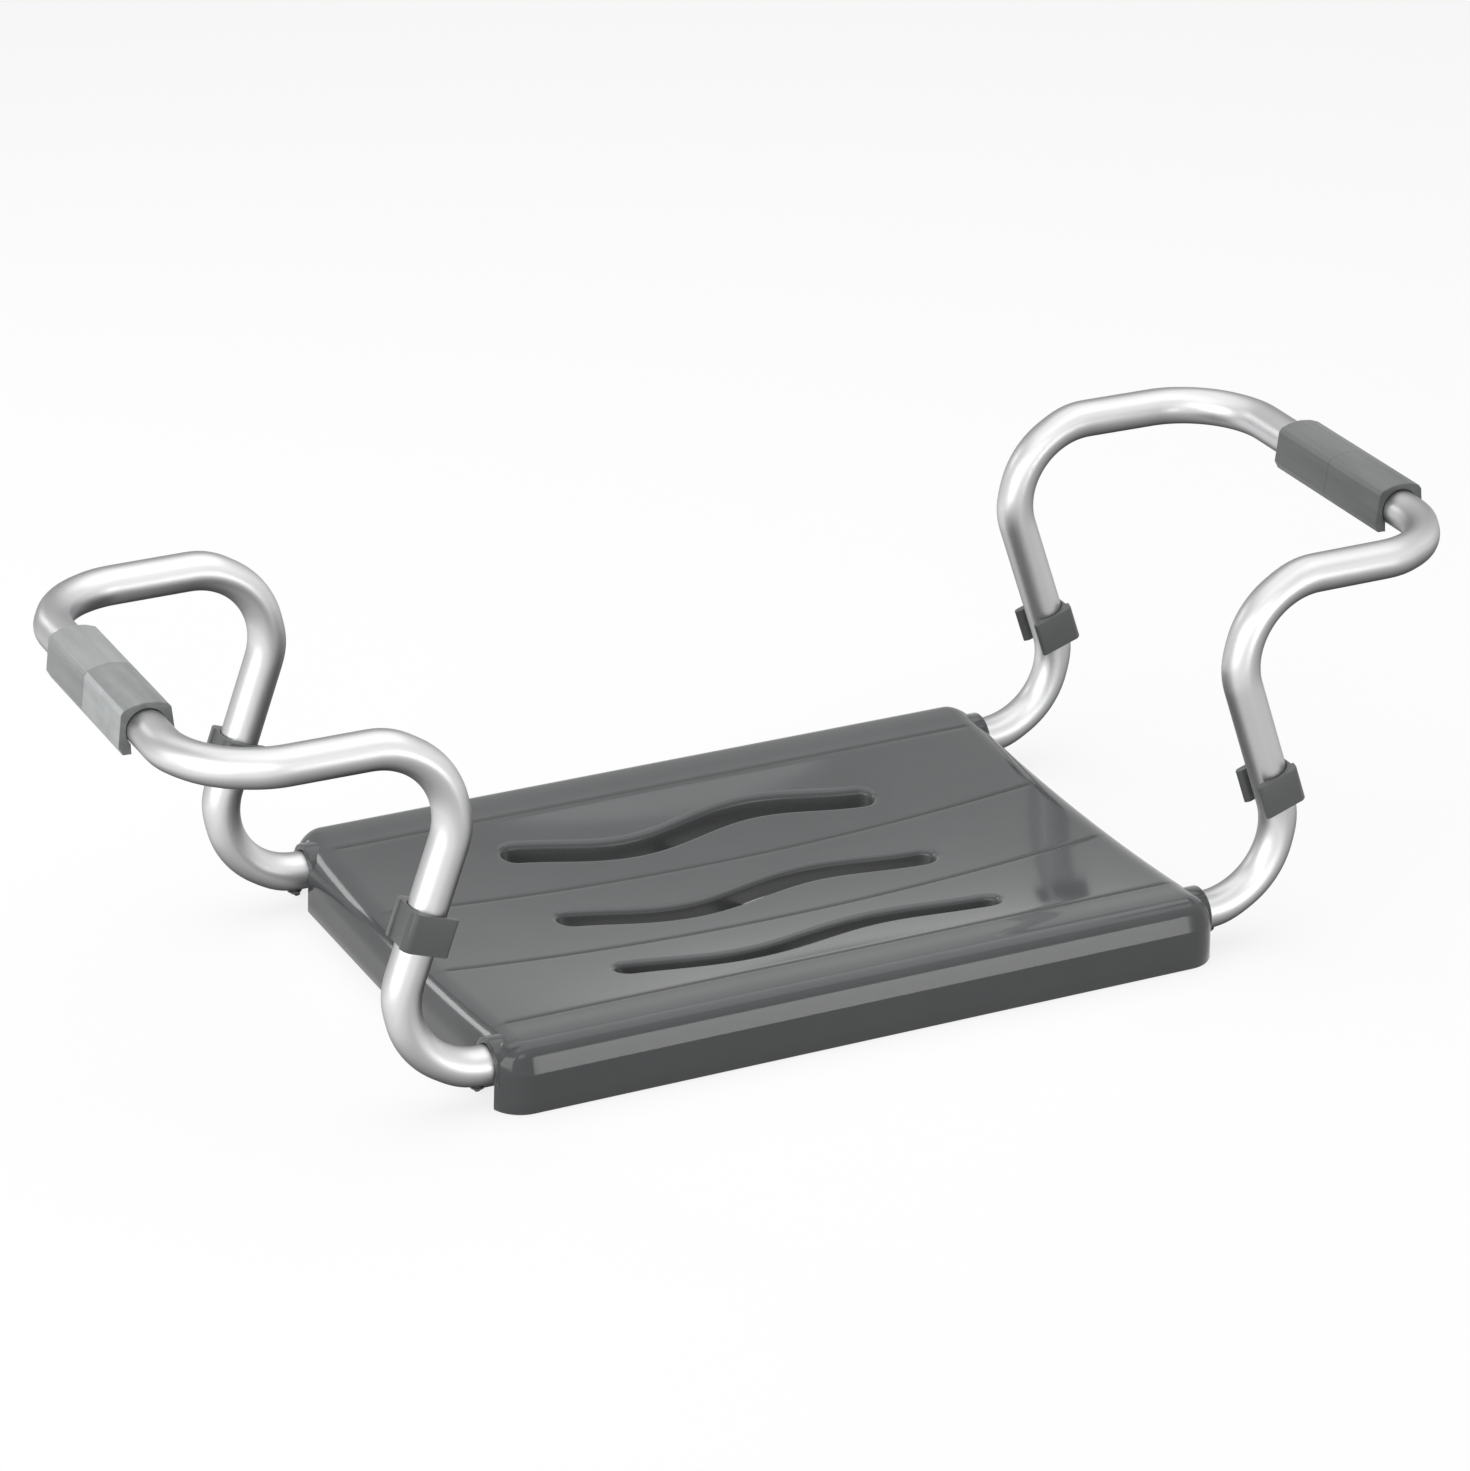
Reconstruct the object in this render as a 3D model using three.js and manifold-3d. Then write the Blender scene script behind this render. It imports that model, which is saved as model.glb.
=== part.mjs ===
// Bath seat: a moulded seat deck carried between two bent tube frames that hook over the bath's rims.
// Millimetres, +Z up, X across the bath, -Y the front. The origin is the middle of the deck's underside.

import * as THREE from 'three';
import { mergeVertices } from 'three/addons/utils/BufferGeometryUtils.js';
import Module from 'manifold-3d';

const wasm = await Module();
wasm.setup();

// Deck
const deckLength = 402;
const deckWidth = 280;
const deckHeight = 35.5;
const deckWall = 3;
const deckCorner = 17;
const skirtFlare = 0.5;
const frontEdgeRadius = 12;
const endEdgeRadius = 16;
const rimGrooveInset = 33;
const slatGrooveSpacing = 71;
const grooveWidth = 3;
const grooveDepth = 0.8;
const rimStep = 1.5;
const rimRise = 10;
const endSag = 3.4;
const middleSag = 11.7;

const topXShares = [0, 0.16, 0.32, 0.48, 0.64, 0.78, 0.88];
const hollowXShares = [0, 0.35, 0.65, 0.85];

// Drain slots
const slotLength = 210;
const slotWidth = 14;
const slotSpacing = 70;
const slotSwing = 6.5;
const slotWave = 150;
const slotWall = 2.5;
const slotWallFoot = 8;

// Ribs under the deck
const ribThickness = 2.5;
const crossRibInset = 61;
const cradleFoot = 12;
const channelWallOffset = 14;
const channelWall = 3;

// Tube frames
const tubeDiameter = 20;
const tubeWall = 1.5;
const legInset = 22;
const loopTaper = 1.5;
const legHeight = 20;
const loopRise = 178;
const legReach = 60;
const leanIn = 61.5;
const rimReach = 144;
const lowBendRadius = 42;
const highBendRadius = 42;
const loopBendRadius = 46;
const insertedLength = 156;
const boreSides = 10;

// Fits
const clearance = 0.3;
const overrun = 5;

// Tube collars and cradles in the deck
const collarWall = 3.5;
const collarLength = 14;
const cradleInsets = [121, 91, 61];

// Rim pads
const gripLength = 100;
const gripTopHalf = 12.8;
const gripFootHalf = 14.6;
const gripCrown = 13.7;
const gripShoulder = 11.2;
const gripFoot = 11.6;
const gripMouthHalf = 8;
const leftGripY = -2;
const rightGripY = -12;

// Wall pads on the legs
const padLength = 20;
const padHalfWidth = 12.4;
const padWeb = 2.2;
const padArm = 9.8;
const padLip = 8.8;
const padRound = 3;
const padAlong = { left_front: 86, left_rear: 77, right_front: 68, right_rear: 64 };

// Bungs under the legs
const bungOffset = 3.7;
const bungShank = 6;
const bungShankLength = 2.5;
const bungFlange = 8;
const bungFlangeHeight = 1.3;
const bungTip = 4;
const bungTipHeight = 1.4;

// Plugs in the inner ends of the legs
const plugFlange = 2;
const plugDepth = 12;

// Guide straps and their screws
const strapInset = 91;
const strapLength = 18;
const strapThickness = 3;
const strapInnerReach = 26.5;
const strapOuterReach = 18;
const strapSaddleHalf = 9.5;
const strapSaddleRise = 3;
const innerScrewOffset = 21;
const outerScrewOffset = 14.6;
const screwHead = 6.4;
const screwHeadHeight = 2.4;
const screwShank = 3.4;
const screwLength = 13;
const screwBoss = 7;
const screwDrive = 2.2;

// Clamp plates, knobs and inserts
const clampInset = 38;
const clampLength = 26;
const clampThickness = 3;
const clampStep = 8.3;
const clampInnerReach = 39;
const clampOuterReach = 18;
const knobOffset = 28;
const knobDiameter = 22;
const knobHeight = 9;
const knobLobes = 6;
const knobLobeDepth = 1.4;
const studDiameter = 6;
const studLength = 7;
const insertDiameter = 9;
const insertLength = 7;
const insertBossWall = 3;
const ledgeReach = 6;
const ledgeThickness = 3;

// Colours
const deckColour = 0x5f6163;
const gripColour = 0x7b7e7d;
const padColour = 0x58595a;
const tubeColour = 0xd8d9db;
const blackColour = 0x1a1a1b;
const plateColour = 0x4b4d4f;
const brassColour = 0xb08d4a;
const steelColour = 0xb9bbbd;

// Derived places
const deckEnd = deckLength / 2;
const deckSide = deckWidth / 2;
const tubeRadius = tubeDiameter / 2;
const boreRadius = tubeRadius - tubeWall;
const channelRadius = tubeRadius + clearance;
const rimGrooveY = deckSide - rimGrooveInset;
const slatGrooveY = slatGrooveSpacing / 2;
const legY = deckSide - legInset;
const loopY = legY - loopTaper;
const channelWallY = legY - channelWallOffset;
const crossRibX = deckEnd - crossRibInset;
const strapX = deckEnd - strapInset;
const strapInnerY = legY - strapInnerReach;
const strapOuterY = legY + strapOuterReach;
const innerScrewY = legY - innerScrewOffset;
const outerScrewY = legY + outerScrewOffset;
const clampX = deckEnd - clampInset;
const clampInnerY = legY - clampInnerReach;
const clampOuterY = legY + clampOuterReach;
const knobY = legY - knobOffset;
const loopHeight = legHeight + loopRise;
const tubeUnderside = legHeight - tubeRadius;
const slatHeight = deckHeight - rimStep;
const sides = [-1, 1];
const sideNames = { '-1': 'left', 1: 'right' };
const faceNames = { '-1': 'front', 1: 'rear' };

// Solids
function solidOf(geometry) {
  const bare = geometry.index ? geometry.toNonIndexed() : geometry.clone();
  bare.deleteAttribute('normal');
  bare.deleteAttribute('uv');
  const merged = mergeVertices(bare, 1e-4);
  return new wasm.Manifold(new wasm.Mesh({
    numProp: 3,
    vertProperties: new Float32Array(merged.attributes.position.array),
    triVerts: new Uint32Array(merged.index.array),
  }));
}

function geometryOf(solid) {
  const mesh = solid.getMesh();
  const geometry = new THREE.BufferGeometry();
  geometry.setAttribute('position', new THREE.BufferAttribute(mesh.vertProperties, 3));
  geometry.setIndex(new THREE.BufferAttribute(mesh.triVerts, 1));
  return geometry;
}

function box(low, high) {
  const size = high.map((value, i) => value - low[i]);
  const middle = high.map((value, i) => (value + low[i]) / 2);
  return solidOf(new THREE.BoxGeometry(...size).translate(...middle));
}

// A box from |x| inner to outer on one side and |y| inner to outer on one face of the deck.
function cornerBox(side, face, xs, ys, zs) {
  const x = xs.map((value) => value * side).sort((a, b) => a - b);
  const y = ys.map((value) => value * face).sort((a, b) => a - b);
  return box([x[0], y[0], zs[0]], [x[1], y[1], zs[1]]);
}

function uprightCylinder(radius, x, y, low, high, segments = 20) {
  const geometry = new THREE.CylinderGeometry(radius, radius, high - low, segments);
  return solidOf(geometry.rotateX(Math.PI / 2).translate(x, y, (low + high) / 2));
}

function crossCylinder(radius, y, z, low, high, segments = 24) {
  const geometry = new THREE.CylinderGeometry(radius, radius, high - low, segments);
  geometry.rotateY(Math.PI / segments).rotateZ(Math.PI / 2);
  return solidOf(geometry.translate((low + high) / 2, y, z));
}

function joined(solids) {
  return solids.reduce((whole, solid) => whole.add(solid));
}

// Height of the seat surface before its outer edge is rounded.
function seatHeight(x, y) {
  const across = Math.min(Math.abs(y) / rimGrooveY, 1);
  const along = Math.min(Math.abs(x) / deckEnd, 1);
  const sag = (endSag + middleSag * (1 - along ** 2)) * (1 - across ** 2);
  const rise = THREE.MathUtils.smoothstep(Math.abs(y), rimGrooveY, rimGrooveY + rimRise);
  return slatHeight - sag + rimStep * rise;
}

function grooveCut(y) {
  const off = Math.min(Math.abs(Math.abs(y) - rimGrooveY), Math.abs(Math.abs(y) - slatGrooveY));
  return grooveDepth * Math.max(0, 1 - off / (grooveWidth / 2));
}

// The plan outline is a rounded rectangle: how far inside it a point lies, and which way the edge faces.
function edgeDistance(x, y, halfX, halfY, corner) {
  const dx = halfX - Math.abs(x);
  const dy = halfY - Math.abs(y);
  if (dx < corner && dy < corner) {
    const ax = corner - dx;
    const ay = corner - dy;
    const reach = Math.hypot(ax, ay) || 1;
    return { inside: corner - Math.hypot(ax, ay), endShare: (ax / reach) ** 2 };
  }
  return dx < dy ? { inside: dx, endShare: 1 } : { inside: dy, endShare: 0 };
}

// Top of the tray, with the outer edge rolled over; inset gives the parallel inner face.
function trayTop(x, y, inset) {
  const { inside, endShare } = edgeDistance(
    x, y, deckEnd - inset, deckSide - inset, deckCorner - inset);
  const roll = endEdgeRadius * endShare + frontEdgeRadius * (1 - endShare) - inset;
  const groove = inset > 0 ? 0 : grooveCut(y);
  const height = seatHeight(x, y) - inset - groove;
  if (inside >= roll) return height;
  return height - roll + Math.sqrt(Math.max(0, roll ** 2 - (roll - Math.max(0, inside)) ** 2));
}

// Grid lines from the edge inwards: the rolled edge in equal turns, then the flat stretch.
function gridLines(half, roll, inner) {
  const turns = 3;
  const lines = [];
  for (let i = 0; i <= turns; i += 1) {
    lines.push(half - roll * (1 - Math.cos(Math.PI / 2 * i / turns)));
  }
  const positive = [...inner.filter((value) => value < half - roll - 1), ...lines]
    .sort((a, b) => a - b);
  const negative = positive.filter((value) => value > 0).map((value) => -value).reverse();
  return [...negative, ...positive];
}

// A point of the square grid, with each corner square bent to a quarter disc.
function roundedPoint(x, y, halfX, halfY, corner) {
  const ax = Math.abs(x) - (halfX - corner);
  const ay = Math.abs(y) - (halfY - corner);
  if (ax <= 0 || ay <= 0) return [x, y];
  const reach = Math.max(ax, ay);
  const turn = ax >= ay ? Math.PI / 4 * (ay / ax) : Math.PI / 2 - Math.PI / 4 * (ax / ay);
  return [
    Math.sign(x) * (halfX - corner + reach * Math.cos(turn)),
    Math.sign(y) * (halfY - corner + reach * Math.sin(turn)),
  ];
}

// Grid lines across the seat: both edges and the bottom of every groove on the top face.
function topYLines() {
  const half = grooveWidth / 2;
  const between = (slatGrooveY + rimGrooveY) / 2;
  return [0, slatGrooveY / 2, slatGrooveY - half, slatGrooveY, slatGrooveY + half, between,
    rimGrooveY - half, rimGrooveY, rimGrooveY + half, rimGrooveY + rimRise];
}

function hollowYLines() {
  return [0, slatGrooveY, (slatGrooveY + rimGrooveY) / 2, rimGrooveY, rimGrooveY + rimRise];
}

// A closed tray body: grid top, flared side wall and flat underside.
function trayBody(inset, foot) {
  const halfX = deckEnd - inset;
  const halfY = deckSide - inset;
  const corner = deckCorner - inset;
  const xShares = inset > 0 ? hollowXShares : topXShares;
  const yLines = inset > 0 ? hollowYLines() : topYLines();
  const xs = gridLines(halfX, endEdgeRadius - inset, xShares.map((share) => share * deckEnd));
  const ys = gridLines(halfY, frontEdgeRadius - inset, yLines);
  const points = [];
  const faces = [];
  const index = (i, j) => i * ys.length + j;
  xs.forEach((gridX) => ys.forEach((gridY) => {
    const [x, y] = roundedPoint(gridX, gridY, halfX, halfY, corner);
    points.push([x, y, trayTop(x, y, inset)]);
  }));
  for (let i = 0; i < xs.length - 1; i += 1) {
    for (let j = 0; j < ys.length - 1; j += 1) {
      const a = index(i, j);
      const b = index(i + 1, j);
      const c = index(i + 1, j + 1);
      const d = index(i, j + 1);
      faces.push([a, b, c], [a, c, d]);
    }
  }
  const rim = [];
  for (let i = 0; i < xs.length - 1; i += 1) rim.push(index(i, 0));
  for (let j = 0; j < ys.length - 1; j += 1) rim.push(index(xs.length - 1, j));
  for (let i = xs.length - 1; i > 0; i -= 1) rim.push(index(i, ys.length - 1));
  for (let j = ys.length - 1; j > 0; j -= 1) rim.push(index(0, j));
  const footStart = points.length;
  const wallHeight = slatHeight - frontEdgeRadius;
  const spread = skirtFlare * (wallHeight - foot) / wallHeight;
  rim.forEach((id) => {
    const [x, y] = points[id];
    points.push([x * (1 + spread / halfX), y * (1 + spread / halfY), foot]);
  });
  const centre = points.length;
  points.push([0, 0, foot]);
  rim.forEach((id, k) => {
    const next = (k + 1) % rim.length;
    faces.push([rim[next], id, footStart + k], [rim[next], footStart + k, footStart + next]);
    faces.push([footStart + next, footStart + k, centre]);
  });
  const geometry = new THREE.BufferGeometry();
  geometry.setAttribute('position', new THREE.Float32BufferAttribute(points.flat(), 3));
  geometry.setIndex(faces.flat());
  return solidOf(geometry);
}

// Middle line of a drain slot, a gentle S.
function slotLine(row, count) {
  const half = (slotLength - slotWidth) / 2;
  return Array.from({ length: count + 1 }, (_, i) => {
    const x = -half + 2 * half * i / count;
    return new THREE.Vector2(x, row * slotSpacing + slotSwing * Math.sin(2 * Math.PI * x / slotWave));
  });
}

// Upright body that follows a slot's line with round ends.
function slotBody(row, width, low, high) {
  const line = slotLine(row, 18);
  const left = [];
  const right = [];
  line.forEach((point, i) => {
    const before = line[Math.max(0, i - 1)];
    const after = line[Math.min(line.length - 1, i + 1)];
    const along = after.clone().sub(before).normalize();
    const normal = new THREE.Vector2(-along.y, along.x).multiplyScalar(width / 2);
    left.push(point.clone().add(normal));
    right.push(point.clone().sub(normal));
  });
  const arcOf = (centre, from) => {
    const start = from.clone().sub(centre);
    return [1, 2, 3].map((k) => start.clone().rotateAround(new THREE.Vector2(), -Math.PI * k / 4)
      .add(centre));
  };
  const outline = [...left, ...arcOf(line[line.length - 1], left[left.length - 1]),
    ...right.reverse(), ...arcOf(line[0], right[right.length - 1])];
  const shape = new THREE.Shape(outline);
  const geometry = new THREE.ExtrudeGeometry(shape, { depth: high - low, bevelEnabled: false });
  return solidOf(geometry.translate(0, 0, low));
}

function deckRibs() {
  const roof = deckHeight;
  const halfRib = ribThickness / 2;
  const parts = [];
  sides.forEach((face) => {
    parts.push(cornerBox(1, face, [-deckEnd, deckEnd],
      [channelWallY - channelWall / 2, channelWallY + channelWall / 2], [0, roof]));
    parts.push(cornerBox(1, face, [-deckEnd, deckEnd],
      [slatGrooveY - halfRib, slatGrooveY + halfRib], [0, roof]));
  });
  [-crossRibX, 0, crossRibX].forEach((x) => {
    parts.push(box([x - halfRib, -channelWallY, 0], [x + halfRib, channelWallY, roof]));
  });
  sides.forEach((side) => sides.forEach((face) => {
    cradleInsets.forEach((inset) => {
      const x = deckEnd - inset;
      parts.push(cornerBox(side, face, [x - halfRib, x + halfRib], [channelWallY, deckSide],
        [cradleFoot, roof]));
    });
  }));
  return joined(parts);
}

// Bosses for the strap screws and the knob inserts, and the ledge that holds a clamp plate's outer end.
function deckBosses(side, face) {
  const strapTop = tubeUnderside - clearance;
  const insertFloor = clampPlateTop() + clearance;
  const ledgeTop = tubeUnderside - clearance - clampThickness - clearance;
  return joined([
    uprightCylinder(screwBoss / 2, side * strapX, face * innerScrewY, strapTop + clearance, deckHeight),
    uprightCylinder(screwBoss / 2, side * strapX, face * outerScrewY, strapTop + clearance, deckHeight),
    uprightCylinder(insertDiameter / 2 + insertBossWall, side * clampX, face * knobY, insertFloor,
      deckHeight),
    cornerBox(side, face, [clampX - clampLength / 2, clampX + clampLength / 2],
      [deckSide - deckWall - ledgeReach, deckSide], [ledgeTop - ledgeThickness, ledgeTop]),
  ]);
}

function clampPlateTop() {
  return tubeUnderside - clearance + clampStep;
}

function seatDeck() {
  const shell = trayBody(0, 0);
  const hollow = trayBody(deckWall, -overrun);
  const rows = [-1, 0, 1];
  const slotWalls = joined(rows.map((row) =>
    slotBody(row, slotWidth + 2 * slotWall, slotWallFoot, deckHeight)));
  const corners = sides.flatMap((side) => sides.map((face) => [side, face]));
  const inner = joined([deckRibs(), slotWalls, ...corners.map(([side, face]) => deckBosses(side, face))]);
  let deck = shell.subtract(hollow.subtract(inner));
  corners.forEach(([side, face]) => {
    const ends = [side * (deckEnd - collarLength), side * deckEnd].sort((a, b) => a - b);
    deck = deck.add(crossCylinder(tubeRadius + collarWall, face * legY, legHeight, ...ends));
  });
  // The tube channels: a round roof over each tube, open below
  sides.forEach((face) => {
    const reach = deckEnd + skirtFlare + overrun;
    deck = deck.subtract(crossCylinder(channelRadius, face * legY, legHeight, -reach, reach));
    deck = deck.subtract(cornerBox(1, face, [-reach, reach],
      [legY - channelRadius, legY + channelRadius], [-overrun, legHeight]));
  });
  rows.forEach((row) => {
    deck = deck.subtract(slotBody(row, slotWidth, slotWallFoot - clearance, deckHeight + overrun));
  });
  corners.forEach(([side, face]) => {
    deck = deck.subtract(fittingRoom(side, face));
  });
  return deck;
}

// Room cut in the deck for one leg's strap, screws, clamp plate and insert.
function fittingRoom(side, face) {
  const strapHalf = strapLength / 2 + clearance;
  const clampHalf = clampLength / 2 + clearance;
  const strapTop = tubeUnderside;
  const pilot = screwShank / 2 + clearance;
  const pilotTop = strapTop + screwLength - strapThickness;
  const insertLow = clampPlateTop();
  return joined([
    cornerBox(side, face, [strapX - strapHalf, strapX + strapHalf],
      [strapInnerY - clearance, legY], [-overrun, strapTop]),
    cornerBox(side, face, [clampX - clampHalf, clampX + clampHalf],
      [channelWallY - channelWall, legY], [-overrun, insertLow + clearance]),
    uprightCylinder(pilot, side * strapX, face * innerScrewY, 0, pilotTop, 12),
    uprightCylinder(pilot, side * strapX, face * outerScrewY, 0, pilotTop, 12),
    uprightCylinder(insertDiameter / 2 + clearance, side * clampX, face * knobY, insertLow,
      insertLow + 2 * clearance + insertLength, 16),
  ]);
}

// A path of straight stretches and circular bends through corner points.
class BentPath extends THREE.Curve {
  constructor(corners, radii, bendSteps) {
    super();
    this.pieces = [];
    this.bendSteps = bendSteps;
    let start = corners[0];
    radii.forEach((radius, k) => {
      const corner = corners[k + 1];
      const back = corners[k].clone().sub(corner).normalize();
      const ahead = corners[k + 2].clone().sub(corner).normalize();
      const half = back.angleTo(ahead) / 2;
      const trim = radius / Math.tan(half);
      const from = corner.clone().addScaledVector(back, trim);
      const to = corner.clone().addScaledVector(ahead, trim);
      const middle = back.clone().add(ahead).normalize();
      const centre = corner.clone().addScaledVector(middle, radius / Math.sin(half));
      const first = from.clone().sub(centre).normalize();
      const second = back.clone().negate();
      this.pieces.push({ from: start, to: from, steps: 1 });
      this.pieces.push({ centre, first, second, radius, turn: Math.PI - 2 * half, steps: bendSteps });
      start = to;
    });
    this.pieces.push({ from: start, to: corners[corners.length - 1], steps: 1 });
    this.steps = this.pieces.reduce((sum, piece) => sum + piece.steps, 0);
  }

  getUtoTmapping(u) {
    return u;
  }

  getPoint(t, target = new THREE.Vector3()) {
    let place = t * this.steps;
    let k = 0;
    while (k < this.pieces.length - 1 && place > this.pieces[k].steps) {
      place -= this.pieces[k].steps;
      k += 1;
    }
    const piece = this.pieces[k];
    const share = place / piece.steps;
    if (piece.from) return target.lerpVectors(piece.from, piece.to, share);
    const angle = share * piece.turn;
    return target.copy(piece.centre)
      .addScaledVector(piece.first, piece.radius * Math.cos(angle))
      .addScaledVector(piece.second, piece.radius * Math.sin(angle));
  }
}

// Corner points of one frame's middle line, from the front leg's inner end to the rear leg's.
function frameCorners(side) {
  const at = (x, y, z) => new THREE.Vector3(side * x, y, z);
  const lowX = deckEnd + legReach;
  const highX = lowX - leanIn;
  const loopX = highX + rimReach;
  const endX = deckEnd - insertedLength;
  return [
    at(endX, -legY, legHeight),
    at(lowX, -legY, legHeight),
    at(highX, -legY, loopHeight),
    at(loopX, -loopY, loopHeight),
    at(loopX, loopY, loopHeight),
    at(highX, legY, loopHeight),
    at(lowX, legY, legHeight),
    at(endX, legY, legHeight),
  ];
}

function circlePath(radius, count, PathType) {
  return new PathType(Array.from({ length: count }, (_, i) => {
    const turn = 2 * Math.PI * (i + 1 / 2) / count;
    return new THREE.Vector2(radius * Math.cos(turn), radius * Math.sin(turn));
  }));
}

function tubeFrame(side) {
  const radii = [lowBendRadius, highBendRadius, loopBendRadius,
    loopBendRadius, highBendRadius, lowBendRadius];
  const path = new BentPath(frameCorners(side), radii, 6);
  const section = circlePath(tubeRadius, 16, THREE.Shape);
  section.holes.push(circlePath(boreRadius, boreSides, THREE.Path));
  const geometry = new THREE.ExtrudeGeometry(section, {
    steps: path.steps, extrudePath: path, bevelEnabled: false,
  });
  let frame = solidOf(geometry);
  if (frame.volume() < 0) throw new Error('the tube faces inwards');
  sides.forEach((face) => {
    frame = frame.subtract(uprightCylinder(bungShank / 2 + clearance, side * (deckEnd + bungOffset),
      face * legY, tubeUnderside - overrun, legHeight, 12));
  });
  return frame;
}

// Points on a circle's arc, in degrees from +X towards +Y.
function arcPoints(radius, from, to, count) {
  return Array.from({ length: count + 1 }, (_, i) => {
    const turn = THREE.MathUtils.degToRad(from + (to - from) * i / count);
    return [radius * Math.cos(turn), radius * Math.sin(turn)];
  });
}

// Section of a rim pad: a flat-sided hood with a low crown and an open foot that snaps over the tube.
function gripSection() {
  const mouthLow = -Math.sqrt(channelRadius ** 2 - gripMouthHalf ** 2);
  const mouthAngle = THREE.MathUtils.radToDeg(Math.atan2(mouthLow, gripMouthHalf));
  const footToe = gripFootHalf - gripFoot / 5;
  const rightSide = [
    [gripMouthHalf, -gripFoot],
    [footToe, -gripFoot],
    [gripFootHalf, -gripFoot * 5 / 8],
    [gripTopHalf, gripShoulder - gripTopHalf / 6],
    [gripTopHalf * 7 / 8, gripShoulder],
    [gripTopHalf / 2, gripCrown - gripTopHalf / 16],
  ];
  const leftSide = rightSide.map(([u, w]) => [-u, w]).reverse();
  const bore = arcPoints(channelRadius, 180 - mouthAngle, mouthAngle, 14);
  return [...rightSide, [0, gripCrown], ...leftSide, ...bore];
}

function grip() {
  const shape = new THREE.Shape(gripSection().map(([u, w]) => new THREE.Vector2(u, w)));
  const geometry = new THREE.ExtrudeGeometry(shape, {
    depth: gripLength, steps: 2, bevelEnabled: false,
  });
  return geometry.translate(0, 0, -gripLength / 2).rotateX(Math.PI / 2);
}

// Section of a wall pad: a web on the wall side, two arms round the tube and lips that hold it.
function padSection() {
  const web = channelRadius + padWeb;
  const neck = padLip;
  const upper = [
    [web, padHalfWidth / 2],
    [web - padRound / 3, padHalfWidth - padRound / 2],
    [web - padRound, padHalfWidth],
    [-padArm + padRound / 2, padHalfWidth],
    [-padArm, padHalfWidth - padRound / 3],
    [-padArm, channelRadius],
    [-padArm * 3 / 4, neck],
  ];
  const grasp = THREE.MathUtils.radToDeg(Math.asin(neck / channelRadius));
  const bore = arcPoints(channelRadius, 180 - grasp, grasp - 180, 16);
  const lower = upper.map(([a, b]) => [a, -b]).reverse();
  return [...upper, ...bore, ...lower];
}

function wallPad() {
  const shape = new THREE.Shape(padSection().map(([a, b]) => new THREE.Vector2(a, b)));
  const geometry = new THREE.ExtrudeGeometry(shape, { depth: padLength, bevelEnabled: false });
  return geometry.translate(0, 0, -padLength / 2);
}

// A turned piece: profile points are [radius, height] from the axis round to the axis.
function turned(profile, segments) {
  const points = profile.map(([radius, height]) => new THREE.Vector2(radius, height));
  return new THREE.LatheGeometry(points, segments).rotateX(Math.PI / 2);
}

// Bung: heights count downwards from the tube's underside.
function bung() {
  const flangeTop = -clearance;
  const flangeLow = flangeTop - bungFlangeHeight;
  const tipLow = flangeLow - bungTipHeight;
  return turned([
    [0, tipLow],
    [bungTip / 2 * 3 / 4, tipLow],
    [bungTip / 2, flangeLow],
    [bungFlange / 2 * 3 / 4, flangeLow],
    [bungFlange / 2, flangeTop],
    [bungShank / 2, flangeTop],
    [bungShank / 2, bungShankLength],
    [0, bungShankLength],
  ], 12);
}

function endPlug() {
  const spigot = boreRadius * Math.cos(Math.PI / boreSides) - clearance;
  return turned([
    [0, -plugFlange - clearance],
    [tubeRadius - plugFlange / 2, -plugFlange - clearance],
    [tubeRadius, -plugFlange / 2 - clearance],
    [tubeRadius, -clearance],
    [spigot, -clearance],
    [spigot, plugDepth - plugFlange],
    [spigot - plugFlange, plugDepth],
    [0, plugDepth],
  ], 14);
}

// Guide strap: a bridge under the leg with a saddle that follows the tube.
function guideStrap(side, face) {
  const top = tubeUnderside - clearance;
  const low = top - strapThickness;
  const xs = [strapX - strapLength / 2, strapX + strapLength / 2];
  const saddle = cornerBox(side, face, xs, [legY - strapSaddleHalf, legY + strapSaddleHalf],
    [low, top + strapSaddleRise]);
  const tubeRoom = crossCylinder(channelRadius, face * legY, legHeight,
    side * strapX - strapLength, side * strapX + strapLength);
  const hole = screwShank / 2 + clearance;
  return cornerBox(side, face, xs, [strapInnerY, strapOuterY], [low, top])
    .add(saddle)
    .subtract(tubeRoom)
    .subtract(uprightCylinder(hole, side * strapX, face * innerScrewY, low - overrun, top + overrun, 12))
    .subtract(uprightCylinder(hole, side * strapX, face * outerScrewY, low - overrun, top + overrun, 12));
}

function screw() {
  const headLow = -screwHeadHeight - clearance;
  const body = turned([
    [0, headLow],
    [screwHead * 3 / 8, headLow],
    [screwHead / 2, headLow + screwHeadHeight / 2],
    [screwHead / 2, -clearance],
    [screwShank / 2, -clearance],
    [screwShank / 2, screwLength - screwShank],
    [screwShank / 6, screwLength - 2 * clearance],
    [0, screwLength - 2 * clearance],
  ], 10);
  const arm = screwDrive / 6;
  const slotDepth = headLow + screwHeadHeight / 2;
  const drive = box([-screwDrive, -arm, headLow - overrun], [screwDrive, arm, slotDepth])
    .add(box([-arm, -screwDrive, headLow - overrun], [arm, screwDrive, slotDepth]));
  return geometryOf(solidOf(body).subtract(drive));
}

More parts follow.
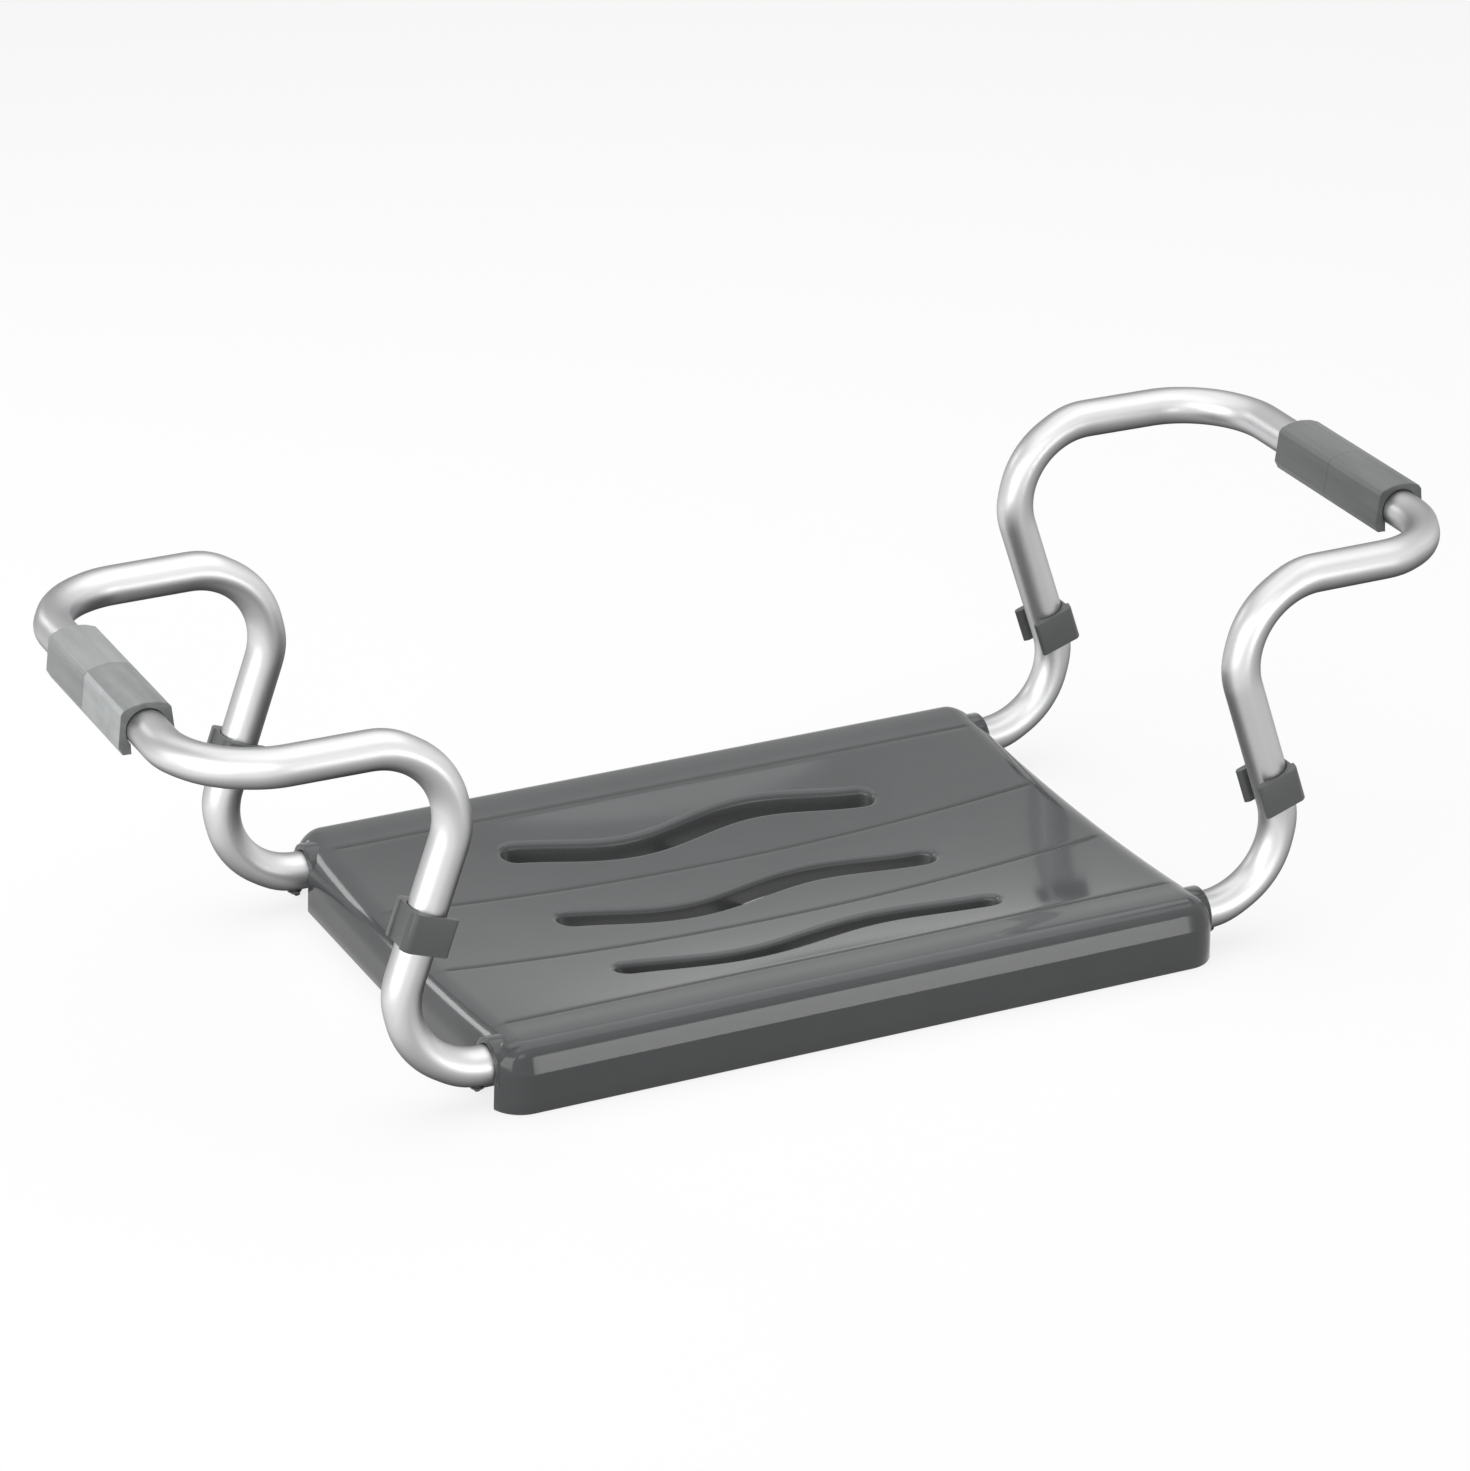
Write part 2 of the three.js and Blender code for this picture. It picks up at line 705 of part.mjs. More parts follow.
// Clamp plate: hooked on the deck's ledge, passing under the leg and stepping up to the knob.
function clampPlate(side, face) {
  const top = tubeUnderside - clearance;
  const low = top - clampThickness;
  const raised = clampPlateTop();
  const riserY = channelWallY - channelWall / 2;
  const xs = [clampX - clampLength / 2, clampX + clampLength / 2];
  const tubeRoom = crossCylinder(channelRadius, face * legY, legHeight,
    side * clampX - clampLength, side * clampX + clampLength);
  return cornerBox(side, face, xs, [riserY, clampOuterY], [low, top])
    .add(cornerBox(side, face, xs, [riserY, riserY + clampThickness], [low, raised]))
    .add(cornerBox(side, face, xs, [clampInnerY, riserY + clampThickness],
      [raised - clampThickness, raised]))
    .subtract(tubeRoom)
    .subtract(uprightCylinder(studDiameter / 2 + clearance, side * clampX, face * knobY,
      low - overrun, raised + overrun, 16));
}

// Hand knob with its stud; heights count from the knob's upper face.
function handKnob() {
  const outline = Array.from({ length: 5 * knobLobes }, (_, i) => {
    const turn = 2 * Math.PI * i / (5 * knobLobes);
    const radius = knobDiameter / 2 - knobLobeDepth * (1 - Math.cos(knobLobes * turn)) / 2;
    return new THREE.Vector2(radius * Math.cos(turn), radius * Math.sin(turn));
  });
  const lip = knobHeight / 9;
  const head = new THREE.ExtrudeGeometry(new THREE.Shape(outline), {
    depth: knobHeight - 2 * lip,
    bevelEnabled: true,
    bevelThickness: lip,
    bevelSize: lip,
    bevelOffset: -lip,
    bevelSegments: 1,
  }).translate(0, 0, lip - knobHeight);
  const stud = uprightCylinder(studDiameter / 2, 0, 0, -knobHeight / 2,
    clearance + clampThickness + clearance + studLength, 16);
  return geometryOf(solidOf(head).add(stud));
}

function threadedInsert() {
  const bore = studDiameter / 2 + clearance / 2;
  return turned([
    [bore, 0],
    [insertDiameter / 2, 0],
    [insertDiameter / 2, insertLength],
    [bore, insertLength],
    [bore, 0],
  ], 16);
}

// Materials
function material(color, roughness, metalness = 0) {
  return new THREE.MeshStandardMaterial({ color, roughness, metalness });
}

const seat = new THREE.Group();

function place(name, geometry, finish, position = [0, 0, 0]) {
  const mesh = new THREE.Mesh(geometry, finish);
  mesh.name = name;
  mesh.position.set(...position);
  seat.add(mesh);
  return mesh;
}

const deckFinish = material(deckColour, 0.28);
const gripFinish = material(gripColour, 0.5);
const padFinish = material(padColour, 0.5);
const tubeFinish = material(tubeColour, 0.3, 1);
const blackFinish = material(blackColour, 0.45);
const plateFinish = material(plateColour, 0.45);
const brassFinish = material(brassColour, 0.35, 1);
const steelFinish = material(steelColour, 0.3, 1);

// The deck and the two frames
place('seat_deck', geometryOf(seatDeck()), deckFinish);
sides.forEach((side) => {
  place(`${sideNames[side]}_frame`, geometryOf(tubeFrame(side)), tubeFinish);
});

// Rim pads on the outer stretch of each loop
sides.forEach((side) => {
  const loopX = deckEnd + legReach - leanIn + rimReach;
  const along = side < 0 ? leftGripY : rightGripY;
  place(`${sideNames[side]}_rim_pad`, grip(), gripFinish, [side * loopX, along, loopHeight]);
});

// Pieces on each of the four legs
sides.forEach((side) => sides.forEach((face) => {
  const leg = `${sideNames[side]}_${faceNames[face]}`;
  const lean = Math.atan2(leanIn, loopRise);
  const along = padAlong[leg];
  const padX = deckEnd + legReach - along * Math.sin(lean);
  const pad = place(`${leg}_wall_pad`, wallPad(), padFinish,
    [side * padX, face * legY, legHeight + along * Math.cos(lean)]);
  pad.rotation.set(0, -lean, side < 0 ? Math.PI : 0, 'ZYX');
  place(`${leg}_bung`, bung(), blackFinish,
    [side * (deckEnd + bungOffset), face * legY, tubeUnderside]);
  const plug = place(`${leg}_end_plug`, endPlug(), blackFinish,
    [side * (deckEnd - insertedLength), face * legY, legHeight]);
  plug.rotation.y = side * Math.PI / 2;
  place(`${leg}_guide_strap`, geometryOf(guideStrap(side, face)), plateFinish);
  const screwSeat = tubeUnderside - clearance - strapThickness;
  place(`${leg}_inner_screw`, screw(), steelFinish, [side * strapX, face * innerScrewY, screwSeat]);
  place(`${leg}_outer_screw`, screw(), steelFinish, [side * strapX, face * outerScrewY, screwSeat]);
  place(`${leg}_clamp_plate`, geometryOf(clampPlate(side, face)), plateFinish);
  place(`${leg}_knob`, handKnob(), blackFinish,
    [side * clampX, face * knobY, clampPlateTop() - clampThickness - clearance]);
  place(`${leg}_insert`, threadedInsert(), brassFinish,
    [side * clampX, face * knobY, clampPlateTop() + clearance]);
}));

export default seat;
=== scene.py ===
"""Looks of a bath seat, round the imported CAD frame: a moulded deck between two bent aluminium tubes."""

import math

import bmesh
import bpy
import numpy as np
from mathutils import Matrix, Vector
from mathutils.geometry import delaunay_2d_cdt

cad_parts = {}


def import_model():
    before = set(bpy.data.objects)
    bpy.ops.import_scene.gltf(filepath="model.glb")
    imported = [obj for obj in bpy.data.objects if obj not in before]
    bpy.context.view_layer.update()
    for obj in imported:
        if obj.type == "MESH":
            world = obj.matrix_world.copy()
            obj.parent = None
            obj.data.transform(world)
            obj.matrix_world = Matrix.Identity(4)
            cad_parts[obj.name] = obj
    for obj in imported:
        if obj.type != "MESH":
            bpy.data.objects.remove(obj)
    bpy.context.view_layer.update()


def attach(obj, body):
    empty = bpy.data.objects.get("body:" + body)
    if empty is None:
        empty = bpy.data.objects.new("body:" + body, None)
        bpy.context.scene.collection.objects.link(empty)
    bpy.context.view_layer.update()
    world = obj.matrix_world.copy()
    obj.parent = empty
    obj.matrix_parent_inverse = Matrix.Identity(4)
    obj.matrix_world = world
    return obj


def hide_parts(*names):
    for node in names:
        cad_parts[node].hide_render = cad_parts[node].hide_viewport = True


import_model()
MM = 0.001
SIDES = {"left": -1, "right": 1}
FACES = {"front": -1, "rear": 1}

# Sizes in millimetres, as in the CAD
HALF_X, HALF_Y, CORNER = 201.0, 140.0, 17.0
FLARE, WALL, FOOT_ROUND = 0.5, 3.0, 0.9
END_ROLL = 16.0
SIDE_ROLL = 9.0
SHOULDER_TURN = math.radians(74)
SHOULDER_LOW, SHOULDER_HIGH = 14.7, 6.5
SLAT_Z, RIM_STEP, RIM_RISE = 34.0, 1.5, 20.0
END_SAG, MIDDLE_SAG = 3.4, 11.7
RIM_GROOVE_Y, SLAT_GROOVE_Y = 107.0, 35.5
GROOVE_HALF, GROOVE_DEPTH = 1.8, 0.5
GROOVE_FADE, GROOVE_END = 184.0, 193.0
SLOT_HALF, SLOT_REACH, SLOT_LIP = 7.0, 98.0, 3.4
SLOT_ROWS = (-70.0, 0.0, 70.0)
SLOT_SWING, SLOT_WAVE = 6.5, 150.0
SLOT_FLANGE, SLOT_FOOT, SLOT_ROUND = 2.5, 8.0, 0.5
LEG_Y, LOOP_Y, LEG_Z, LOOP_Z = 118.0, 116.5, 20.0, 198.0
TUBE_R, BORE_R = 10.0, 8.5
CHANNEL_R = 10.3
LOW_X, HIGH_X, LOOP_X, INNER_X = 261.0, 199.5, 343.5, 45.0
BEND_RADII = (42, 42, 46, 46, 42, 42)
LEAN = math.atan2(LOW_X - HIGH_X, LOOP_Z - LEG_Z)
FLATTENING = 0.14
BORE_FLAT_R = 7.78
RIB, RIB_BITE = 2.5, 1.0
CHANNEL_WALL, CHANNEL_WALL_Y, CROSS_RIB_X = 3.0, 104.0, 140.0
CROSS_FOOT, CROSS_REACH, SLOT_PASS = 0.5, 103.5, 9.7
LEDGE_WIDTH, LEDGE_DEPTH = 6.0, 3.0
CRADLE_X, CRADLE_FOOT = (80.0, 110.0, 140.0), 12.0
STRAP_X, STRAP_LENGTH, STRAP_LOW, STRAP_TOP = 110.0, 18.0, 6.7, 9.7
STRAP_YS, SADDLE_HALF, SADDLE_TOP = (91.5, 136.0), 9.5, 12.7
SCREW_YS = {"inner": 97.0, "outer": 132.6}
PLATE_X, PLATE_LENGTH, PLATE_RAISED = 163.0, 26.0, 18.0
PLATE_YS, RISER_Y, PLATE_THICKNESS = (79.0, 136.0), 102.5, 3.0
KNOB_Y, KNOB_TOP = 90.0, 14.65
BUNG_X, COLLAR_X = 204.7, 192.5
BOSS_R, INSERT_BOSS_R, INSERT_BORE, INSERT_DEPTH = 3.5, 7.5, 4.6, 7.2
FIT = 0.3  # between the deck and what is fitted to it
RIM_PAD_Y, RIM_PAD_LENGTH = {"left": -2, "right": -12}, 100
WALL_PAD_LENGTH = 20
WALL_PAD_ALONG = {"left_front": 86, "left_rear": 77, "right_front": 68, "right_rear": 64}


# Mesh building
class Builder:
    """Collects points and faces, in millimetres, and makes one object of them."""

    def __init__(self):
        self.points = []
        self.faces = []

    def ring(self, points):
        start = len(self.points)
        self.points.extend(tuple(float(v) for v in p) for p in points)
        return list(range(start, len(self.points)))

    def strip(self, low, high):
        """Quads between two rings of one length, outwards where both run anticlockwise and high is above."""
        for i in range(len(low)):
            j = (i + 1) % len(low)
            self.faces.append((low[i], low[j], high[j], high[i]))

    def cap(self, ring, flip=False):
        self.faces.append(tuple(reversed(ring)) if flip else tuple(ring))

    def stack(self, rings):
        """Joins the rings in a row and closes both ends."""
        for low, high in zip(rings, rings[1:]):
            self.strip(low, high)
        self.cap(rings[0], flip=True)
        self.cap(rings[-1])

    def build(self, name, smooth_angle=35.0):
        mesh = bpy.data.meshes.new(name)
        mesh.from_pydata([tuple(v * MM for v in p) for p in self.points], [], self.faces)
        mesh.validate()
        mesh.update()
        obj = bpy.data.objects.new(name, mesh)
        bpy.context.scene.collection.objects.link(obj)
        if smooth_angle:
            shade(obj, smooth_angle)
        return obj


def shade(obj, angle=35.0):
    obj.data.polygons.foreach_set("use_smooth", [True] * len(obj.data.polygons))
    obj.data.set_sharp_from_angle(angle=math.radians(angle))


def apply_modifiers(obj):
    depsgraph = bpy.context.evaluated_depsgraph_get()
    mesh = bpy.data.meshes.new_from_object(obj.evaluated_get(depsgraph))
    old = obj.data
    obj.modifiers.clear()
    obj.data = mesh
    bpy.data.meshes.remove(old)


def bevel(obj, width):
    mod = obj.modifiers.new("bevel", "BEVEL")
    mod.width = width * MM
    mod.segments = 3
    mod.limit_method = "ANGLE"
    mod.angle_limit = math.radians(30)
    apply_modifiers(obj)


def clean(obj, reach=0.03 * MM):
    """Merges points that all but coincide and drops the faces without area between them."""
    mesh = bmesh.new()
    mesh.from_mesh(obj.data)
    bmesh.ops.remove_doubles(mesh, verts=mesh.verts, dist=reach)
    bmesh.ops.dissolve_degenerate(mesh, edges=mesh.edges, dist=reach)
    mesh.to_mesh(obj.data)
    mesh.free()


def oriented(obj):
    """Turns all faces of a closed body outwards."""
    mesh = bmesh.new()
    mesh.from_mesh(obj.data)
    bmesh.ops.recalc_face_normals(mesh, faces=mesh.faces)
    mesh.to_mesh(obj.data)
    mesh.free()
    return obj


def cut(obj, cutter):
    mod = obj.modifiers.new("cut", "BOOLEAN")
    mod.operation = "DIFFERENCE"
    mod.solver = "EXACT"
    mod.object = cutter
    bpy.context.view_layer.update()
    apply_modifiers(obj)
    mesh = cutter.data
    bpy.data.objects.remove(cutter)
    bpy.data.meshes.remove(mesh)


def extrusion(name, outline, depth, place, segments=1, smooth_angle=35.0):
    """An outline of (a, b) points swept along c, half the depth each way; place maps (a, b, c)."""
    builder = Builder()
    rings = []
    for k in range(segments + 1):
        c = -depth / 2 + depth * k / segments
        rings.append(builder.ring([place(a, b, c) for a, b in outline]))
    builder.stack(rings)
    return builder.build(name, smooth_angle)


def turned(name, profile, place, segments=40):
    """A profile of (radius, height) points turned about the height axis, with flat ends."""
    turns = np.linspace(0, 2 * np.pi, segments, endpoint=False)
    builder = Builder()
    builder.stack([builder.ring([place(*point) for point in circle(0, 0, radius, height, turns)])
                   for radius, height in profile])
    return builder.build(name)


def circle(x, y, radius, height, turns):
    """Points at one height round (x, y); the radius may change with the turn."""
    return np.column_stack((x + radius * np.cos(turns), y + radius * np.sin(turns),
                            np.full(len(turns), height)))


def arc(radius, low, high, count):
    """Points of an arc from one angle to another, in degrees."""
    turns = [math.radians(low + (high - low) * k / count) for k in range(count + 1)]
    return [(radius * math.cos(turn), radius * math.sin(turn)) for turn in turns]


# The seat surface
def smoothstep(value, low, high):
    t = np.clip((value - low) / (high - low), 0, 1)
    return t * t * (3 - 2 * t)


def seat_height(x, y, grooved=True):
    """Height of the deck's dished top, with its four grooves."""
    across = np.minimum(np.abs(y) / RIM_GROOVE_Y, 1)
    along = np.minimum(np.abs(x) / HALF_X, 1)
    sag = (END_SAG + MIDDLE_SAG * (1 - along**2)) * (1 - across**2)
    height = SLAT_Z - sag + RIM_STEP * smoothstep(np.abs(y), RIM_GROOVE_Y, RIM_GROOVE_Y + RIM_RISE)
    if grooved:
        for groove in (RIM_GROOVE_Y, SLAT_GROOVE_Y):
            off = np.clip(np.abs(np.abs(y) - groove) / GROOVE_HALF, 0, 1)
            fade = 1 - smoothstep(np.abs(x), GROOVE_FADE, GROOVE_END)
            height = height - GROOVE_DEPTH * fade * (0.5 + 0.5 * np.cos(np.pi * off))
    return height


def outline_ring(step=4.0, turns=14):
    """Points of the deck's outline, anticlockwise from the right side, and the way that each faces."""
    straight_x, straight_y = HALF_X - CORNER, HALF_Y - CORNER
    points, ways = [], []
    for quarter, (cx, cy) in enumerate(((1, 1), (-1, 1), (-1, -1), (1, -1))):
        for k in range(turns + 1):
            turn = math.pi / 2 * (quarter + k / turns)
            way = (math.cos(turn), math.sin(turn))
            points.append((cx * straight_x + CORNER * way[0], cy * straight_y + CORNER * way[1]))
            ways.append(way)
        length = 2 * (straight_x if quarter % 2 == 0 else straight_y)
        count = int(round(length / step))
        turn = math.pi / 2 * (quarter + 1)
        way = (round(math.cos(turn)), round(math.sin(turn)))
        start = np.array(points[-1])
        run = np.array((-way[1], way[0])) * length
        for k in range(1, count):
            points.append(tuple(start + run * k / count))
            ways.append(way)
    return np.array(points), np.array(ways)


def edge_profile(turns=12):
    """Inset, drop and turn of the rolled edge from its crease to the flat top, at the sides and the ends."""
    foot = (SHOULDER_LOW - SHOULDER_HIGH) / math.tan(SHOULDER_TURN)
    side = [(foot * t, SHOULDER_LOW + (SHOULDER_HIGH - SHOULDER_LOW) * t, SHOULDER_TURN)
            for t in (0.0, 0.06, 0.2, 0.6)]
    middle = foot + SIDE_ROLL * math.sin(SHOULDER_TURN)
    for k in range(turns + 1):
        turn = SHOULDER_TURN * (1 - k / turns)
        side.append((middle - SIDE_ROLL * math.sin(turn), SIDE_ROLL * (1 - math.cos(turn)), turn))
    end = []
    for k in range(len(side)):
        turn = math.pi / 2 * (1 - k / (len(side) - 1))
        end.append((END_ROLL * (1 - math.sin(turn)), END_ROLL * (1 - math.cos(turn)), turn))
    end[-1] = (END_ROLL - 0.4, 0.0, 0.0)
    return np.array(side), np.array(end)


def edge_rings(base, ways, depth=0.0):
    """Rings of the rolled edge, crease first, on the face that lies that deep under the outer one."""
    side, end = edge_profile()
    share = (ways[:, 0] ** 2)[:, None]
    rings = []
    for low, high in zip(side, end):
        inset, drop, turn = (low * (1 - share) + high * share).T
        points = base - ways * (inset + depth * np.sin(turn))[:, None]
        height = seat_height(points[:, 0], points[:, 1], grooved=False) - drop - depth * np.cos(turn)
        rings.append(np.column_stack((points, height)))
    return rings


def slot_line(row, xs):
    """Where a drain slot's middle line lies across the deck."""
    return row + SLOT_SWING * np.sin(2 * np.pi * xs / SLOT_WAVE)


def slot_ring(row, offset, step=2.5, turns=14):
    """Points round a drain slot, at an offset from its middle line, anticlockwise."""
    count = int(round(2 * SLOT_REACH / step))
    xs = np.linspace(-SLOT_REACH, SLOT_REACH, count + 1)
    ys = slot_line(row, xs)
    slope = SLOT_SWING * 2 * np.pi / SLOT_WAVE * np.cos(2 * np.pi * xs / SLOT_WAVE)
    normal = np.column_stack((-slope, np.ones_like(slope))) / np.hypot(slope, 1)[:, None]
    line = np.column_stack((xs, ys))
    lower = line - offset * normal
    upper = (line + offset * normal)[::-1]

    def tip(centre, start):
        turn = math.degrees(math.atan2(*(start - centre)[::-1]))
        return centre + np.array(arc(offset, turn, turn + 180, turns)[1:-1])

    return np.vstack((lower, tip(line[-1], lower[-1]), upper, tip(line[0], upper[-1])))


def slot_distance(points):
    """Distance of each point from the nearest slot's middle line."""
    xs = np.linspace(-SLOT_REACH, SLOT_REACH, 160)
    best = np.full(len(points), np.inf)
    for row in SLOT_ROWS:
        ys = slot_line(row, xs)
        gap = np.hypot(points[:, None, 0] - xs[None, :], points[:, None, 1] - ys[None, :])
        best = np.minimum(best, gap.min(axis=1))
    return best


def within(points, ring):
    """Whether each point lies inside a closed outline."""
    x, y = points[:, 0, None], points[:, 1, None]
    x1, y1 = ring[:, 0], ring[:, 1]
    x2, y2 = np.roll(x1, -1), np.roll(y1, -1)
    straddles = (y1 > y) != (y2 > y)
    rise = np.where(y1 == y2, 1.0, y2 - y1)
    crossing = x1 + (y - y1) * (x2 - x1) / rise
    return (straddles & (x < crossing)).sum(axis=1) % 2 == 1


def fill(builder, border, holes, grid, height, clear, upward=True):
    """Joins a border ring, the holes' rings and the grid points that keep clear of the slots by triangles."""
    rings = [border] + holes
    index = [i for ring in rings for i in ring]
    flat = [Vector(builder.points[i][:2]) for i in index]
    outlines = [np.array([builder.points[i][:2] for i in ring]) for ring in rings]
    edges = []
    start = 0
    for ring in rings:
        n = len(ring)
        edges.extend((start + k, start + (k + 1) % n) for k in range(n))
        start += n
    loose = grid[slot_distance(grid) > clear]
    heights = height(loose[:, 0], loose[:, 1])
    index += builder.ring(np.column_stack((loose, heights)))
    flat += [Vector(p) for p in loose]
    verts, _, faces, origin, _, _ = delaunay_2d_cdt(flat, edges, [], 0, 1e-6)
    kept = [index[o[0]] for o in origin]
    centres = np.array([np.mean([verts[i][:] for i in f], axis=0) for f in faces])
    inside = within(centres, outlines[0])
    for outline in outlines[1:]:
        inside &= ~within(centres, outline)
    for f, keep in zip(faces, inside):
        if keep:
            ids = tuple(kept[i] for i in f)
            builder.faces.append(ids if upward else tuple(reversed(ids)))


def lines(*parts):
    """Grid lines in order, each once."""
    return np.unique(np.round(np.concatenate(parts), 3))


def skirt(builder, rows, depth=0.0):
    """Rings up a face of the skirt, from (share of height, inset) rows, and on over the rolled edge."""
    base, ways = outline_ring()
    crease = edge_rings(base, ways)[0][:, 2]
    rings = []
    for share, inset in rows:
        lean = FLARE * (1 - share)
        rings.append(builder.ring(np.column_stack((base + ways * (lean - inset), crease * share))))
    return rings + [builder.ring(ring) for ring in edge_rings(base, ways, depth)]


def slot_walls(builder, row, steps=8):
    """Lip, wall and flange of one drain slot; gives its outermost rings above and below."""
    rings = []
    for k in range(steps + 1):
        reach = SLOT_LIP * (1 - math.cos(math.pi / 2 * k / steps))
        points = slot_ring(row, SLOT_HALF + reach)
        drop = SLOT_LIP - math.sqrt(max(0, SLOT_LIP**2 - (SLOT_LIP - reach) ** 2))
        rings.append(np.column_stack((points, seat_height(*points.T) - drop)))
    for beyond in (0.7, 1.8):
        points = slot_ring(row, SLOT_HALF + SLOT_LIP + beyond)
        rings.append(np.column_stack((points, seat_height(*points.T))))
    lip = [builder.ring(ring) for ring in rings]
    for inner, out in zip(lip, lip[1:]):
        builder.strip(inner, out)
    edge = rings[0]
    low = SLOT_FOOT + SLOT_ROUND
    wall = [np.column_stack((edge[:, :2], low + (edge[:, 2] - low) * share)) for share in (0.66, 0.33, 0.0)]
    foot = ((SLOT_ROUND, SLOT_FOOT), (SLOT_FLANGE - SLOT_ROUND, SLOT_FOOT), (SLOT_FLANGE, low))
    for offset, height in foot:
        points = slot_ring(row, SLOT_HALF + offset)
        wall.append(np.column_stack((points, np.full(len(points), height))))
    wall.append(np.column_stack((points, seat_height(*points.T, grooved=False) - WALL)))
    flange = [lip[0]] + [builder.ring(ring) for ring in wall]
    for upper, lower in zip(flange, flange[1:]):
        builder.strip(lower, upper)
    return lip[-1], flange[-1]


def top_grid(step=4.0, groove_reach=1.6, groove_lines=9):
    """Points of the flat part of the top, close together across the grooves."""
    across = [np.linspace(y - groove_reach, y + groove_reach, groove_lines)
              for y in (SLAT_GROOVE_Y, RIM_GROOVE_Y)]
    xs = lines(np.arange(-180, 181, step), (-183.4, 183.4))
    ys = lines(np.arange(0, 34, step), across[0], np.arange(38.5, 104, step), across[1],
               np.arange(110, 123, step / 2), (125.5,))
    return np.array([(x, y) for x in xs for y in lines(ys, -ys)])


def cut_mouths(shell, length=22.0, low=-30.0):
    """Cuts the mouths for the legs, open below."""
    outline = arc(CHANNEL_R, 0, 180, 28) + [(-CHANNEL_R, low), (CHANNEL_R, low)]
    for side in SIDES.values():
        for face in FACES.values():
            place = lambda a, b, c: (side * (HALF_X - 4) + c, face * LEG_Y + a, LEG_Z + b)
            cut(shell, extrusion("mouth", outline, length, place, smooth_angle=0))


def make_shell():
    """Top skin, rolled edge, skirt, underside and slot walls of the deck as one closed body."""
    builder = Builder()
    foot = ((0.0, FOOT_ROUND), (0.012, FOOT_ROUND / 3))
    outer = skirt(builder, [*foot, *((share, 0.0) for share in (0.045, 0.4, 0.8, 0.94, 0.985))])
    for low, high in zip(outer, outer[1:]):
        builder.strip(low, high)
    holes, flanges = zip(*[slot_walls(builder, row) for row in SLOT_ROWS])
    fill(builder, outer[-1], list(holes), top_grid(), seat_height, SLOT_HALF + 7.0)
    rows = [(share, WALL - inset) for share, inset in foot] + [(0.045, WALL), (0.6, WALL)]
    inner = skirt(builder, rows, WALL)
    builder.strip(inner[0], outer[0])
    for low, high in zip(inner, inner[1:]):
        builder.strip(high, low)
    grid = np.array([(x, y) for x in np.arange(-176, 177, 8.0) for y in np.arange(-120, 121, 8.0)])
    under = lambda x, y: seat_height(x, y, grooved=False) - WALL
    fill(builder, inner[-1], list(flanges), grid, under, SLOT_HALF + 6.0, upward=False)
    shell = builder.build("seat_shell")
    cut_mouths(shell)
    shade(shell, 40)
    return shell


# Underside of the deck
def roof(x, y):
    """Height inside the deck's skin, where a rib under it ends."""
    side, end = edge_profile()
    side_drop = np.interp(HALF_Y - abs(y), side[:, 0], side[:, 1])
    end_drop = np.interp(HALF_X - abs(x), end[:, 0], end[:, 1])
    return seat_height(x, y, grooved=False) - max(side_drop, end_drop) - WALL + RIB_BITE


def stations(corners, step=6.0):
    """Adds points between the corners of a (distance, height) line; a distance given twice is a step."""
    result = [corners[0]]
    for (d0, h0), (d1, h1) in zip(corners, corners[1:]):
        count = max(1, int(math.ceil((d1 - d0) / step)))
        result += [(d0 + (d1 - d0) * k / count, h0 + (h1 - h0) * k / count) for k in range(1, count + 1)]
    return result


def rib(builder, start, way, feet, thickness, top=roof):
    """Adds a wall along a line, from the given heights of its foot up into the deck's skin."""
    start, way = np.array(start, float), np.array(way, float)
    across = thickness / 2 * np.array((-way[1], way[0]))
    foot = stations(feet)
    crest = sorted({round(along, 4) for along, _ in foot}, reverse=True)
    sides = []
    for off in (across, -across):
        points = [(*(start + way * along + off), height) for along, height in foot]
        for along in crest:
            place = start + way * along + off
            points.append((*place, float(top(*place))))
        sides.append(builder.ring(points))
    builder.strip(*sides)
    builder.cap(sides[0], flip=True)
    builder.cap(sides[1])


def channel_wall_feet():
    """Heights of a channel wall's foot from the middle outwards, notched for the strap and the plate."""
    feet = [(0, 0)]
    for x, length, top in ((STRAP_X, STRAP_LENGTH, STRAP_TOP), (PLATE_X, PLATE_LENGTH, PLATE_RAISED)):
        start, stop, height = x - length / 2 - FIT, x + length / 2 + FIT, top + FIT
        feet += [(start, 0), (start, height), (stop, height), (stop, 0)]
    return feet + [(HALF_X - WALL / 2, 0)]


def both_ways(feet):
    """The heights of half a rib's foot, from its middle outwards, as those of the whole rib."""
    return [(-along, foot) for along, foot in reversed(feet)] + feet[1:]


def cradle_feet():
    """Heights of a cradle rib's foot from the channel wall outwards, with the round seat for the leg."""
    seat = LEG_Y - CHANNEL_WALL_Y
    arch = [(seat + across, LEG_Z + height) for across, height in arc(CHANNEL_R, 180, 0, 14)]
    start, stop = seat - CHANNEL_R, seat + CHANNEL_R
    end = HALF_Y - WALL / 2 - CHANNEL_WALL_Y
    return [(0, CRADLE_FOOT), (start, CRADLE_FOOT), *arch, (stop, CRADLE_FOOT), (end, CRADLE_FOOT)]


def under_slots(x, y):
    """Height of the middle cross rib's crest, which dips to pass under the slots' walls."""
    off = min(abs(y - row) for row in SLOT_ROWS)
    return SLOT_FOOT - FIT if off < SLOT_PASS - 0.1 else roof(x, y)


